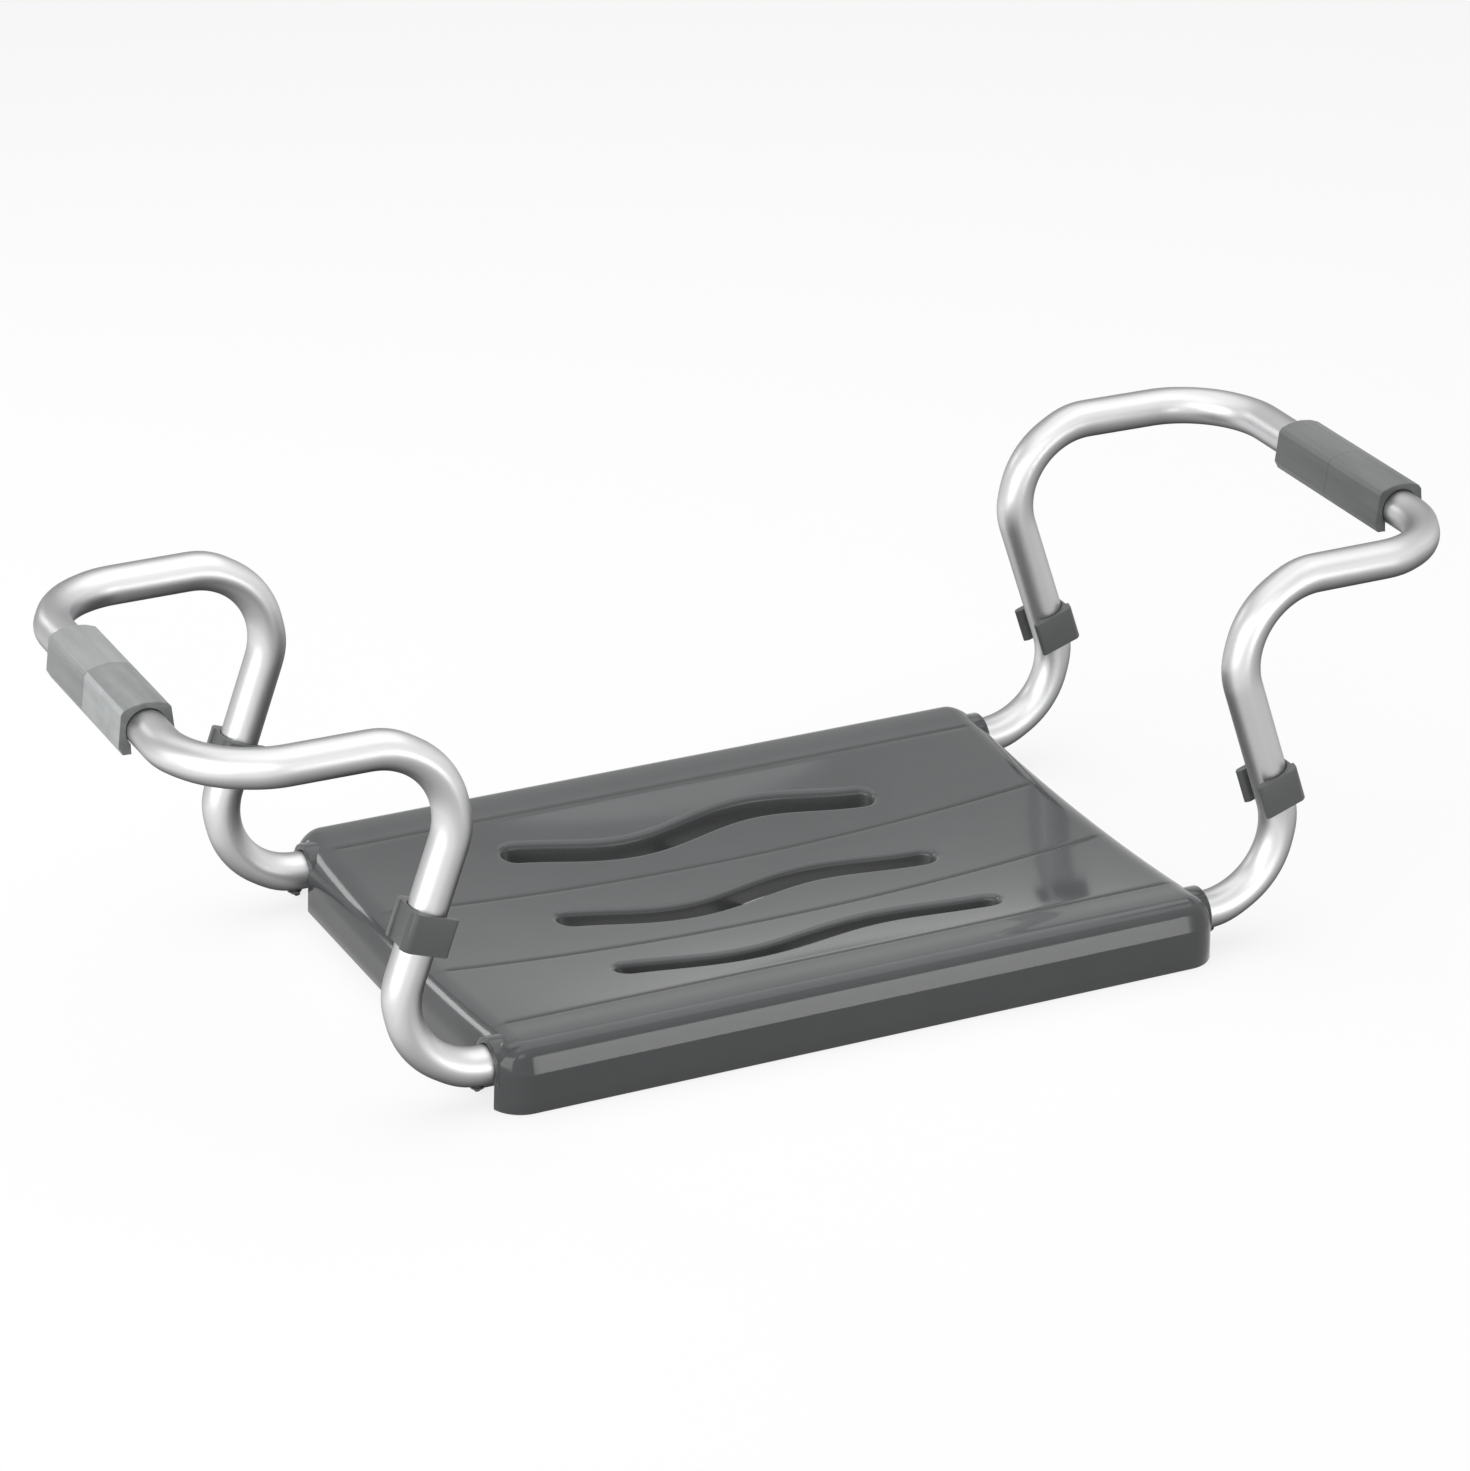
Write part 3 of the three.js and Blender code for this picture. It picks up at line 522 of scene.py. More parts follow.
def make_ribs():
    """Ribs, cradles and ledges under the deck."""
    builder = Builder()
    ledge_top = STRAP_LOW - FIT
    ledge_feet = [(0, ledge_top - LEDGE_DEPTH), (PLATE_LENGTH, ledge_top - LEDGE_DEPTH)]
    ledge_y = HALF_Y - WALL - LEDGE_WIDTH / 2
    for face in FACES.values():
        rib(builder, (0, face * CHANNEL_WALL_Y), (1, 0), both_ways(channel_wall_feet()), CHANNEL_WALL)
        rib(builder, (0, face * SLAT_GROOVE_Y), (1, 0), both_ways([(0, 0), (HALF_X - WALL / 2, 0)]), RIB)
        for side in SIDES.values():
            for x in CRADLE_X:
                rib(builder, (side * x, face * CHANNEL_WALL_Y), (0, face), cradle_feet(), RIB)
            rib(builder, (side * (PLATE_X - PLATE_LENGTH / 2), face * ledge_y), (side, 0),
                ledge_feet, LEDGE_WIDTH, top=lambda x, y: ledge_top)
    for x in (-CROSS_RIB_X, CROSS_RIB_X):
        rib(builder, (x, 0), (0, 1), [(-CROSS_REACH, CROSS_FOOT), (CROSS_REACH, CROSS_FOOT)], RIB)
    steps = (-SLOT_PASS, 0.2 - SLOT_PASS, SLOT_PASS - 0.2, SLOT_PASS)
    ends = [row + step for row in SLOT_ROWS for step in steps]
    feet = [(along, CROSS_FOOT) for along in (-CROSS_REACH, *ends, CROSS_REACH)]
    rib(builder, (0, 0), (0, 1), feet, RIB, top=under_slots)
    return oriented(builder.build("deck_ribs"))


def make_boss(name, x, y, radius, low, bore=0.0, depth=0.0):
    """A round boss that hangs from the deck's skin, bored from below where a bore is given."""
    top = min(float(roof(x, y + reach)) for reach in (-radius, 0, radius))
    place = lambda a, b, c: (x + a, y + b, c)
    profile = [(bore, low + depth), (bore, low)] if bore else []
    profile += [(radius - 0.4, low), (radius, low + 0.4), (radius, top), (radius - 1.0, top)]
    return oriented(turned(name, profile, place, segments=32))


# Tubes
def bend_path(corners, radii, step=3.0):
    """Points along stretches and bends, and at each the way out of the bend, shorter where less flattened."""
    points = [np.array(corners[0], float)]
    bulges = [np.zeros(3)]

    def run(end):
        """Goes straight on to the end."""
        start = points[-1]
        count = max(1, int(round(np.linalg.norm(end - start) / 12.0)))
        points.extend(start + (end - start) * k / count for k in range(1, count + 1))
        bulges.extend(np.zeros(3) for _ in range(count))

    for k, radius in enumerate(radii):
        corner = np.array(corners[k + 1], float)
        back = np.array(corners[k], float) - corner
        ahead = np.array(corners[k + 2], float) - corner
        back /= np.linalg.norm(back)
        ahead /= np.linalg.norm(ahead)
        half = math.acos(np.clip(back @ ahead, -1, 1)) / 2
        trim = radius / math.tan(half)
        begin = corner + back * trim
        middle = (back + ahead) / np.linalg.norm(back + ahead)
        centre = corner + middle * radius / math.sin(half)
        run(begin)
        first = (begin - centre) / radius
        turn = math.pi - 2 * half
        count = int(round(radius * turn / step))
        for i in range(1, count + 1):
            angle = turn * i / count
            out = math.cos(angle) * first - math.sin(angle) * back
            points.append(centre + radius * out)
            bulges.append(out * smoothstep(min(i, count - i) / count, 0.0, 0.3))
    run(np.array(corners[-1], float))
    return np.array(points), np.array(bulges)


def tube_frame(name, side):
    """One bent tube with open ends and bends that are flattened outside; its UV map runs along it."""
    half = [(side * INNER_X, -LEG_Y, LEG_Z), (side * LOW_X, -LEG_Y, LEG_Z), (side * HIGH_X, -LEG_Y, LOOP_Z),
            (side * LOOP_X, -LOOP_Y, LOOP_Z)]
    corners = half + [(x, -y, z) for x, y, z in reversed(half)]
    path, bulges = bend_path(corners, BEND_RADII)
    tangents = np.gradient(path, axis=0)
    tangents /= np.linalg.norm(tangents, axis=1)[:, None]
    normal = np.array((0.0, 0.0, 1.0))
    travel = np.concatenate(((0,), np.cumsum(np.linalg.norm(np.diff(path, axis=0), axis=1))))
    builder = Builder()
    outer, inner = [], []
    sides = 48
    turn = np.linspace(0, 2 * np.pi, sides, endpoint=False)
    for point, tangent, bulge in zip(path, tangents, bulges):
        normal = normal - (normal @ tangent) * tangent
        normal /= np.linalg.norm(normal)
        other = np.cross(tangent, normal)
        ring = np.cos(turn)[:, None] * normal + np.sin(turn)[:, None] * other
        pressed = FLATTENING * np.maximum(ring @ bulge, 0)[:, None] * bulge
        outer.append(builder.ring(point + TUBE_R * (ring - pressed)))
        inner.append(builder.ring(point + BORE_R * (ring - pressed)))
    for k in range(len(path) - 1):
        builder.strip(outer[k], outer[k + 1])
        builder.strip(inner[k + 1], inner[k])
    builder.strip(inner[0], outer[0])
    builder.strip(outer[-1], inner[-1])
    obj = builder.build(name, 60)
    layer = obj.data.uv_layers.new(name="UVMap")
    per_ring = 2 * sides
    loops = np.zeros(len(obj.data.loops), np.int64)
    obj.data.loops.foreach_get("vertex_index", loops)
    around = (loops % sides) / sides
    along = travel[loops // per_ring] * MM
    high = np.repeat(around.reshape(-1, 4).max(axis=1), 4)
    around = np.where((high > 0.9) & (around < 0.1), around + 1, around)
    uv = np.column_stack((around * 2 * math.pi * TUBE_R * MM, along)).astype(np.float32)
    layer.data.foreach_set("uv", uv.ravel())
    return obj


# Pads and small pieces
def rounded(points, radii, turns=5):
    """A closed outline with its corners rounded by the given radii."""
    result = []
    n = len(points)
    for k, (point, radius) in enumerate(zip(points, radii)):
        p = np.array(point, float)
        back = np.array(points[k - 1], float) - p
        ahead = np.array(points[(k + 1) % n], float) - p
        if radius <= 0:
            result.append(tuple(p))
            continue
        lb, la = np.linalg.norm(back), np.linalg.norm(ahead)
        back, ahead = back / lb, ahead / la
        half = math.acos(np.clip(back @ ahead, -1, 1)) / 2
        trim = min(radius / math.tan(half), 0.49 * lb, 0.49 * la)
        start, end = p + back * trim, p + ahead * trim
        for i in range(turns + 1):
            t = i / turns
            result.append(tuple((1 - t) ** 2 * start + 2 * t * (1 - t) * p + t * t * end))
    return result


def rim_pad(name, side, middle):
    """Push-fit pad on the outer stretch of the loop: a flat-sided hood, open below."""
    mouth = 8.0
    low = -math.sqrt(CHANNEL_R**2 - mouth**2)
    angle = math.degrees(math.atan2(low, mouth))
    right = [(mouth, -11.6), (12.3, -11.6), (14.6, -7.25), (12.8, 9.1), (11.2, 11.2), (6.4, 12.9)]
    radii = [0.8, 0.8, 1.2, 2.0, 1.5, 8.0]
    outline = right + [(0, 13.7)] + [(-u, w) for u, w in reversed(right)]
    outline = rounded(outline, radii + [8.0] + radii[::-1])
    outline += arc(CHANNEL_R, 180 - angle, angle, 40)
    place = lambda a, b, c: (side * LOOP_X + a, middle - c, LOOP_Z + b)
    return oriented(extrusion(name, outline, RIM_PAD_LENGTH, place, segments=2))


def wall_pad(name, side, face, along):
    """Push-fit pad on the leg: a web on the wall side, two arms and rounded lips."""
    web = CHANNEL_R + 2.2
    neck = 8.8
    upper = [(web, 6.2), (web - 1.0, 10.9), (web - 3.0, 12.4), (-10.7, 12.4), (-12.2, 11.4),
             (-12.2, 10.3), (-9.8, neck)]
    grasp = math.degrees(math.asin(neck / CHANNEL_R))
    half = rounded(upper, [1.0, 1.5, 2.0, 1.0, 0.8, 0.8, 0])
    outline = half + arc(CHANNEL_R, 180 - grasp, grasp - 180, 40) + [(a, -b) for a, b in reversed(half)]
    sx, cx = math.sin(LEAN), math.cos(LEAN)
    centre_x, centre_z = LOW_X - along * sx, LEG_Z + along * cx
    place = lambda a, b, c: (side * (centre_x + a * cx - c * sx), face * LEG_Y + b,
                             centre_z + a * sx + c * cx)
    return oriented(extrusion(name, outline, WALL_PAD_LENGTH, place))


def collar(name, side, face):
    """Arch that carries the leg where it leaves the deck."""
    outer, low, length = 13.5, -6.0, 14.4
    outline = [(outer, low)] + arc(outer, 0, 180, 32) + [(-outer, low), (-CHANNEL_R, low)]
    outline += arc(CHANNEL_R, 180, 0, 28) + [(CHANNEL_R, low)]
    place = lambda a, b, c: (side * COLLAR_X + c, face * LEG_Y + a, LEG_Z + b)
    return oriented(extrusion(name, outline, length, place))


def bung(name, side, face):
    """Rubber bung pushed into the leg from below."""
    under = LEG_Z - TUBE_R
    place = lambda a, b, c: (side * BUNG_X + a, face * LEG_Y + b, under + c)
    profile = [(1.3, -3.0), (1.8, -2.7), (2.0, -1.7), (2.9, -1.6), (3.6, -1.3), (3.95, -0.8),
               (3.95, -0.3), (2.95, -0.3), (2.95, 2.0), (2.6, 2.4)]
    return oriented(turned(name, profile, place, segments=28))


def end_plug(name, side, face):
    """Push-in plug that closes the inner end of a leg."""
    place = lambda a, b, c: (side * (INNER_X + c), face * LEG_Y + a, LEG_Z + b)
    profile = [(8.8, -2.3), (9.6, -2.0), (9.95, -1.4), (9.95, -0.3), (BORE_FLAT_R, -0.3),
               (BORE_FLAT_R, 10.0), (BORE_FLAT_R - 1.6, 11.9)]
    return oriented(turned(name, profile, place, segments=48))


def screw(name, x, y):
    """Pan-head screw seen from below, with its cross drive."""
    place = lambda a, b, c: (x + a, y + b, STRAP_LOW + c)
    head = -2.65
    profile = [(1.6, head + 0.05), (2.5, -2.3), (3.0, -1.7), (3.15, -1.0), (3.15, -0.3), (1.65, -0.3),
               (1.65, 9.4), (0.5, 12.3)]
    piece = oriented(turned(name, profile, place, segments=32))
    arm, reach, depth = 0.37, 1.9, 1.5
    lift = lambda a, b, c: (x + a, y + b, STRAP_LOW + head - 0.05 + c)
    for along, across in ((reach, arm), (arm, reach)):
        outline = [(-along, -across), (along, -across), (along, across), (-along, across)]
        cut(piece, oriented(extrusion("drive", outline, 2 * depth, lift, smooth_angle=0)))
    shade(piece)
    return piece


def knob(name, side, face):
    """Lobed clamp knob with its stud."""
    radius, lobes, depth = 11.0, 6, 1.4
    turns = np.linspace(0, 2 * np.pi, 96, endpoint=False)
    dip = depth * (1 - np.cos(lobes * turns)) / 2
    profile = [(radius - dip * min(1.0, 1.5 / (0.5 + inset)) - inset, height) for inset, height in (
        (7.5, 6.3), (6.6, 5.9), (2.2, 5.75), (1.0, 5.95), (0.3, 6.6), (0.05, 7.6), (0.05, 12.8), (0.4, 14.0),
        (1.4, KNOB_TOP), (7.9, KNOB_TOP))]
    profile += [(2.95, KNOB_TOP), (2.95, 24.6), (2.3, 25.2)]
    builder = Builder()
    builder.stack([builder.ring(circle(side * PLATE_X, face * KNOB_Y, reach, height, turns))
                   for reach, height in profile])
    return oriented(builder.build(name, 40))


def strap(name, side, face):
    """Guide strap under a leg, with a saddle that follows the tube."""
    low, high = STRAP_YS
    near, far, draft = LEG_Y - SADDLE_HALF, LEG_Y + SADDLE_HALF, 0.6
    reach = 0.72 * math.degrees(math.asin(SADDLE_HALF / CHANNEL_R))
    curve = [(LEG_Y + a, LEG_Z + b) for a, b in arc(CHANNEL_R, reach - 90, -reach - 90, 14)]
    outline = [(low, STRAP_LOW), (high, STRAP_LOW), (high, STRAP_TOP), (far, STRAP_TOP),
               (far - draft, SADDLE_TOP), *curve, (near + draft, SADDLE_TOP), (near, STRAP_TOP),
               (low, STRAP_TOP)]
    place = lambda a, b, c: (side * STRAP_X + c, face * a, b)
    return oriented(extrusion(name, outline, STRAP_LENGTH, place))


def clamp_plate(name, side, face):
    """Clamp plate: a low tongue under the leg, a riser and a raised end for the knob."""
    low, high = PLATE_YS
    riser = RISER_Y + PLATE_THICKNESS
    tongue_top, underside = STRAP_TOP - 0.2, PLATE_RAISED - PLATE_THICKNESS
    outline = [(RISER_Y, STRAP_LOW), (high, STRAP_LOW), (high, tongue_top), (riser, tongue_top),
               (riser, PLATE_RAISED), (low, PLATE_RAISED), (low, underside), (RISER_Y, underside)]
    place = lambda a, b, c: (side * PLATE_X + c, face * a, b)
    piece = oriented(extrusion(name, outline, PLATE_LENGTH, place))
    hole = [(3.3, 12.0), (3.3, 20.0)]
    around = lambda a, b, c: (side * PLATE_X + a, face * KNOB_Y + b, c)
    cut(piece, oriented(turned("hole", hole, around)))
    return piece


def insert(name, side, face):
    """Threaded insert in the deck that takes the knob's stud."""
    profile = [(3.15, 18.8), (3.5, 18.35), (4.3, 18.35), (4.45, 18.6), (4.45, 24.9), (4.2, 25.2),
               (3.15, 25.2)]
    turns = np.linspace(0, 2 * np.pi, 40, endpoint=False)
    builder = Builder()
    rings = [builder.ring(circle(side * PLATE_X, face * KNOB_Y, radius, height, turns))
             for radius, height in profile]
    for low, high in zip(rings, rings[1:] + rings[:1]):
        builder.strip(low, high)
    return oriented(builder.build(name))


# Materials
def new_node(tree, kind):
    return tree.nodes.new(f"ShaderNode{kind}")


def set_inputs(node, values):
    for key, value in values.items():
        node.inputs[key].default_value = value


def material(name, base, roughness, metallic=0.0):
    mat = bpy.data.materials.new(name)
    mat.use_nodes = True
    shader = mat.node_tree.nodes["Principled BSDF"]
    set_inputs(shader, {"Base Color": (*base, 1), "Roughness": roughness, "Metallic": metallic})
    return mat, mat.node_tree, shader


def source(shader, key):
    """The socket that feeds an input of the shader."""
    return shader.inputs[key].links[0].from_socket


def coordinates(tree, key="Object"):
    return new_node(tree, "TexCoord").outputs[key]


def axes(tree, vector):
    """The X, Y and Z of a vector, as sockets by name."""
    parts = new_node(tree, "SeparateXYZ")
    tree.links.new(vector, parts.inputs[0])
    return parts.outputs


def calc(tree, kind, *values):
    """One step of arithmetic on sockets and numbers."""
    node = new_node(tree, "Math")
    node.operation = kind
    for socket, value in zip(node.inputs, values):
        if isinstance(value, float):
            socket.default_value = value
        else:
            tree.links.new(value, socket)
    return node.outputs[0]


def noise(tree, scale, detail=3.0, key="Object", stretch=None):
    texture = new_node(tree, "TexNoise")
    set_inputs(texture, {"Scale": scale, "Detail": detail, "Roughness": 0.55})
    vector = coordinates(tree, key)
    if stretch:
        mapping = new_node(tree, "Mapping")
        mapping.inputs["Scale"].default_value = stretch
        tree.links.new(vector, mapping.inputs["Vector"])
        vector = mapping.outputs["Vector"]
    tree.links.new(vector, texture.inputs["Vector"])
    return texture.outputs["Fac"]


def spread(tree, value, low, high, start=0.3, end=0.7):
    """Maps start to low and end to high, and holds the value between them."""
    node = new_node(tree, "MapRange")
    set_inputs(node, {"From Min": start, "From Max": end, "To Min": low, "To Max": high})
    tree.links.new(value, node.inputs["Value"])
    return node.outputs["Result"]


def tint(tree, value, low, high):
    """A colour between two, each of them numbers or a socket."""
    node = new_node(tree, "Mix")
    node.data_type = "RGBA"
    for key, colour in (("A", low), ("B", high)):
        if isinstance(colour, tuple):
            node.inputs[key].default_value = (*colour, 1)
        else:
            tree.links.new(colour, node.inputs[key])
    tree.links.new(value, node.inputs["Factor"])
    return node.outputs["Result"]


def mix_shaders(tree, value, low, high, out):
    """Mixes two shaders by a value and feeds the material's or the world's output."""
    mix = new_node(tree, "MixShader")
    tree.links.new(value, mix.inputs["Fac"])
    tree.links.new(low.outputs[0], mix.inputs[1])
    tree.links.new(high.outputs[0], mix.inputs[2])
    tree.links.new(mix.outputs[0], new_node(tree, out).inputs["Surface"])


def bump(tree, shader, height, strength, distance):
    node = new_node(tree, "Bump")
    set_inputs(node, {"Strength": strength, "Distance": distance})
    tree.links.new(height, node.inputs["Height"])
    tree.links.new(node.outputs["Normal"], shader.inputs["Normal"])


def plastic(name, base, roughness, grain=2500.0, grain_depth=0.00002, mottle=0.12):
    """Moulded plastic with faint clouds of colour and a fine grain."""
    mat, tree, shader = material(name, base, roughness)
    cloud = spread(tree, noise(tree, 28.0, 4.0), 0.0, 1.0)
    dark = tuple(c * (1 - mottle) for c in base)
    light = tuple(c * (1 + mottle) for c in base)
    tree.links.new(tint(tree, cloud, dark, light), shader.inputs["Base Color"])
    fine = noise(tree, grain, 2.0)
    tree.links.new(spread(tree, fine, roughness * 0.85, roughness * 1.15), shader.inputs["Roughness"])
    bump(tree, shader, fine, 0.35, grain_depth)
    return mat


# Painted light and shade of the anodised tube by how far it faces up, from 0 for straight down to 1: painted
# shade below and on top, painted light in between
TUBE_PAINTED_SHADING = ((0.0, 0.08), (0.15, 0.11), (0.3, 0.2), (0.42, 0.32), (0.5, 0.44), (0.6, 0.66), (0.74, 0.73),
              (0.88, 0.58), (1.0, 0.42))


def aluminium(name):
    """Satin anodised tube: drawn streaks along it, painted shade on its underside and painted light on its
    upper and left-facing sides.
    """
    mat, tree, shader = material(name, (0.7, 0.7, 0.71), 0.3, 1.0)
    set_inputs(shader, {"Specular Tint": (0.35, 0.35, 0.36, 1)})
    facing = axes(tree, new_node(tree, "NewGeometry").outputs["Normal"])
    leftward = calc(tree, "MAXIMUM", calc(tree, "MULTIPLY", facing["X"], -1.0), 0.0)
    rightward = calc(tree, "MAXIMUM", facing["X"], 0.0)
    # Painted light and shade: the colour is lighter where the tube faces up or to the left, and darker where
    # it faces down or to the right
    painted_light_level = calc(tree, "ADD", facing["Z"], calc(tree, "MULTIPLY", leftward, 0.45))
    painted_light_level = calc(tree, "SUBTRACT", painted_light_level, calc(tree, "MULTIPLY", rightward, 0.1))
    ramp = new_node(tree, "ValToRGB")
    while len(ramp.color_ramp.elements) < len(TUBE_PAINTED_SHADING):
        ramp.color_ramp.elements.new(0.5)
    for element, (place, level) in zip(ramp.color_ramp.elements, TUBE_PAINTED_SHADING):
        element.position = place
        element.color = (level, level, level * 1.01, 1)
    tree.links.new(spread(tree, painted_light_level, 0.0, 1.0, -1.0, 1.0), ramp.inputs["Fac"])
    tree.links.new(ramp.outputs["Color"], shader.inputs["Base Color"])
    grain = noise(tree, 1.0, 4.0, "UV", (5200.0, 90.0, 1.0))
    tree.links.new(spread(tree, grain, 0.37, 0.46), shader.inputs["Roughness"])
    bump(tree, shader, grain, 0.1, 0.00002)
    return mat


def cut_metal(name, base, roughness):
    """Cut metal with faint clouds of tarnish and fine scratches."""
    mat, tree, shader = material(name, base, roughness, 1.0)
    cloud = spread(tree, noise(tree, 350.0, 4.0), 0.0, 1.0)
    dull = tuple(c * 0.82 for c in base)
    tree.links.new(tint(tree, cloud, dull, base), shader.inputs["Base Color"])
    scratches = noise(tree, 1.0, 3.0, stretch=(900.0, 5000.0, 900.0))
    tree.links.new(spread(tree, scratches, roughness * 0.8, roughness * 1.3), shader.inputs["Roughness"])
    bump(tree, shader, scratches, 0.2, 0.00001)
    return mat


def deck_plastic(name, base, roughness):
    """Glossy grey plastic, with painted shade along the bottom of the grooves."""
    mat = plastic(name, base, roughness, grain=700.0, grain_depth=0.000004, mottle=0.04)
    tree = mat.node_tree
    shader = tree.nodes["Principled BSDF"]
    place = axes(tree, coordinates(tree))
    across = calc(tree, "ABSOLUTE", place["Y"])
    gaps = [calc(tree, "ABSOLUTE", calc(tree, "SUBTRACT", across, y * MM))
            for y in (RIM_GROOVE_Y, SLAT_GROOVE_Y)]
    deep = spread(tree, calc(tree, "MINIMUM", *gaps), 1.0, 0.0, 0.8 * MM, 2.5 * MM)
    ends = spread(tree, calc(tree, "ABSOLUTE", place["X"]), 1.0, 0.0, GROOVE_FADE * MM, (GROOVE_END - 1) * MM)
    above = spread(tree, place["Z"], 0.0, 1.0, 16 * MM, 17.5 * MM)
    mask = calc(tree, "MULTIPLY", calc(tree, "MULTIPLY", deep, ends), above)
    # Painted shade: the groove bottoms are darkened towards near black, standing in for shade in the grooves
    groove_painted_shade = calc(tree, "MULTIPLY", mask, 0.45)
    colour = tint(tree, groove_painted_shade, source(shader, "Base Color"), (0.012, 0.012, 0.0125))
    tree.links.new(colour, shader.inputs["Base Color"])
    rough = calc(tree, "ADD", source(shader, "Roughness"), calc(tree, "MULTIPLY", mask, 0.35))
    tree.links.new(rough, shader.inputs["Roughness"])
    set_inputs(shader, {"Specular IOR Level": 0.4, "Specular Tint": (0.7, 0.7, 0.7, 1)})
    return mat


def pad_plastic(name, base, middle, pale_flank_share):
    """Matt plastic, streaked along the pad, with a seam across it and its near half's flank paler in
    blotches.
    """
    mat = plastic(name, base, 0.45, mottle=0.05)
    tree = mat.node_tree
    shader = tree.nodes["Principled BSDF"]
    off = calc(tree, "SUBTRACT", axes(tree, coordinates(tree))["Y"], middle)
    seam = spread(tree, calc(tree, "ABSOLUTE", off), 0.3, 0.0, 0.2 * MM, 0.7 * MM)
    near = spread(tree, off, 1.0, 0.0, -0.6 * MM, 0.0)
    streaks = spread(tree, noise(tree, 1.0, 4.0, stretch=(210.0, 16.0, 210.0)), -0.1, 0.14)
    flank = spread(tree, axes(tree, coordinates(tree, "Normal"))["X"], 1.0, 0.0, -0.85, -0.4)
    patch = calc(tree, "SUBTRACT", calc(tree, "MULTIPLY", flank, 3.6 * pale_flank_share), pale_flank_share)
    blotches = calc(tree, "MULTIPLY", patch, spread(tree, noise(tree, 55.0), 0.6, 1.3))
    lift = calc(tree, "ADD", calc(tree, "MULTIPLY", near, blotches), streaks)
    level = calc(tree, "SUBTRACT", calc(tree, "ADD", lift, 1.0), seam)
    scale = new_node(tree, "VectorMath")
    scale.operation = "SCALE"
    tree.links.new(source(shader, "Base Color"), scale.inputs[0])
    tree.links.new(level, scale.inputs["Scale"])
    tree.links.new(scale.outputs["Vector"], shader.inputs["Base Color"])
    return mat


deck_mat = deck_plastic("deck_plastic", (0.083, 0.0855, 0.0873), 0.11)
# Painted light: the slot walls get a paler copy of the deck plastic, standing in for light that reaches into
# the slots
slot_painted_light_mat = plastic("slot_wall_painted_light_plastic", (0.1, 0.1025, 0.104), 0.3, mottle=0.05)
under_mat = plastic("deck_underside", (0.075, 0.077, 0.078), 0.42, mottle=0.08)
rim_pad_mats = {
    "left": pad_plastic("left_pad_plastic", (0.27, 0.28, 0.28), RIM_PAD_Y["left"] * MM, 0.25),
    "right": pad_plastic("right_pad_plastic", (0.125, 0.13, 0.13), RIM_PAD_Y["right"] * MM, 0.02)}
wall_pad_mat = plastic("wall_pad_plastic", (0.1, 0.103, 0.103), 0.42, mottle=0.06)
black_mat = plastic("black_plastic", (0.012, 0.012, 0.012), 0.4)
grey_mat = plastic("bung_grey", (0.12, 0.12, 0.12), 0.4)
fitting_mat = plastic("fitting_plastic", (0.05, 0.052, 0.054), 0.45)
tube_mat = aluminium("anodised_aluminium")
steel_mat = cut_metal("zinc_steel", (0.55, 0.55, 0.56), 0.32)
brass_mat = cut_metal("brass", (0.62, 0.42, 0.16), 0.35)


# Pieces
def paint(obj, *mats):
    obj.data.materials.clear()
    for mat in mats:
        obj.data.materials.append(mat)


def mark(obj, chosen):
    """Gives the chosen faces the second material."""
    obj.data.polygons.foreach_set("material_index", np.array(chosen, np.int32))


def add(piece, mat, body, slot, *nodes, edge=0.0):
    """Rounds a piece's edges if a width is given, paints it and puts it on its body for its nodes."""
    if edge:
        bevel(piece, edge)
        shade(piece)
    if mat:
        paint(piece, mat)
    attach(piece, body)
    if nodes:
        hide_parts(*nodes)


def add_deck():
    shell = make_shell()
    paint(shell, deck_mat, slot_painted_light_mat)
    middles = np.array([p.center[:2] for p in shell.data.polygons]) / MM
    mark(shell, slot_distance(middles) < SLOT_HALF + 0.3)
    add(shell, None, "deck", "deck_plastic", "seat_deck")
    add(make_ribs(), under_mat, "deck", "deck_plastic")


def add_frame(side_name, side):
    """One tube with its rim pad."""
    tube = tube_frame(f"{side_name}_tube", side)
    add(tube, tube_mat, f"{side_name}_frame", "aluminium_tube", f"{side_name}_frame")
    pad = rim_pad(f"{side_name}_rim_pad_skin", side, RIM_PAD_Y[side_name])
    bevel(pad, 0.6)
    clean(pad)
    shade(pad)
    add(pad, rim_pad_mats[side_name], f"{side_name}_rim_pad", "pad_plastic", f"{side_name}_rim_pad")


def add_bosses(leg, side, face):
    for where, y in SCREW_YS.items():
        boss = make_boss(f"{leg}_{where}_boss", side * STRAP_X, face * y, BOSS_R, STRAP_TOP + FIT)
        add(boss, under_mat, "deck", "deck_plastic")
    boss = make_boss(f"{leg}_insert_boss", side * PLATE_X, face * KNOB_Y, INSERT_BOSS_R, PLATE_RAISED + FIT,
                     INSERT_BORE, INSERT_DEPTH)
    add(boss, under_mat, "deck", "deck_plastic")


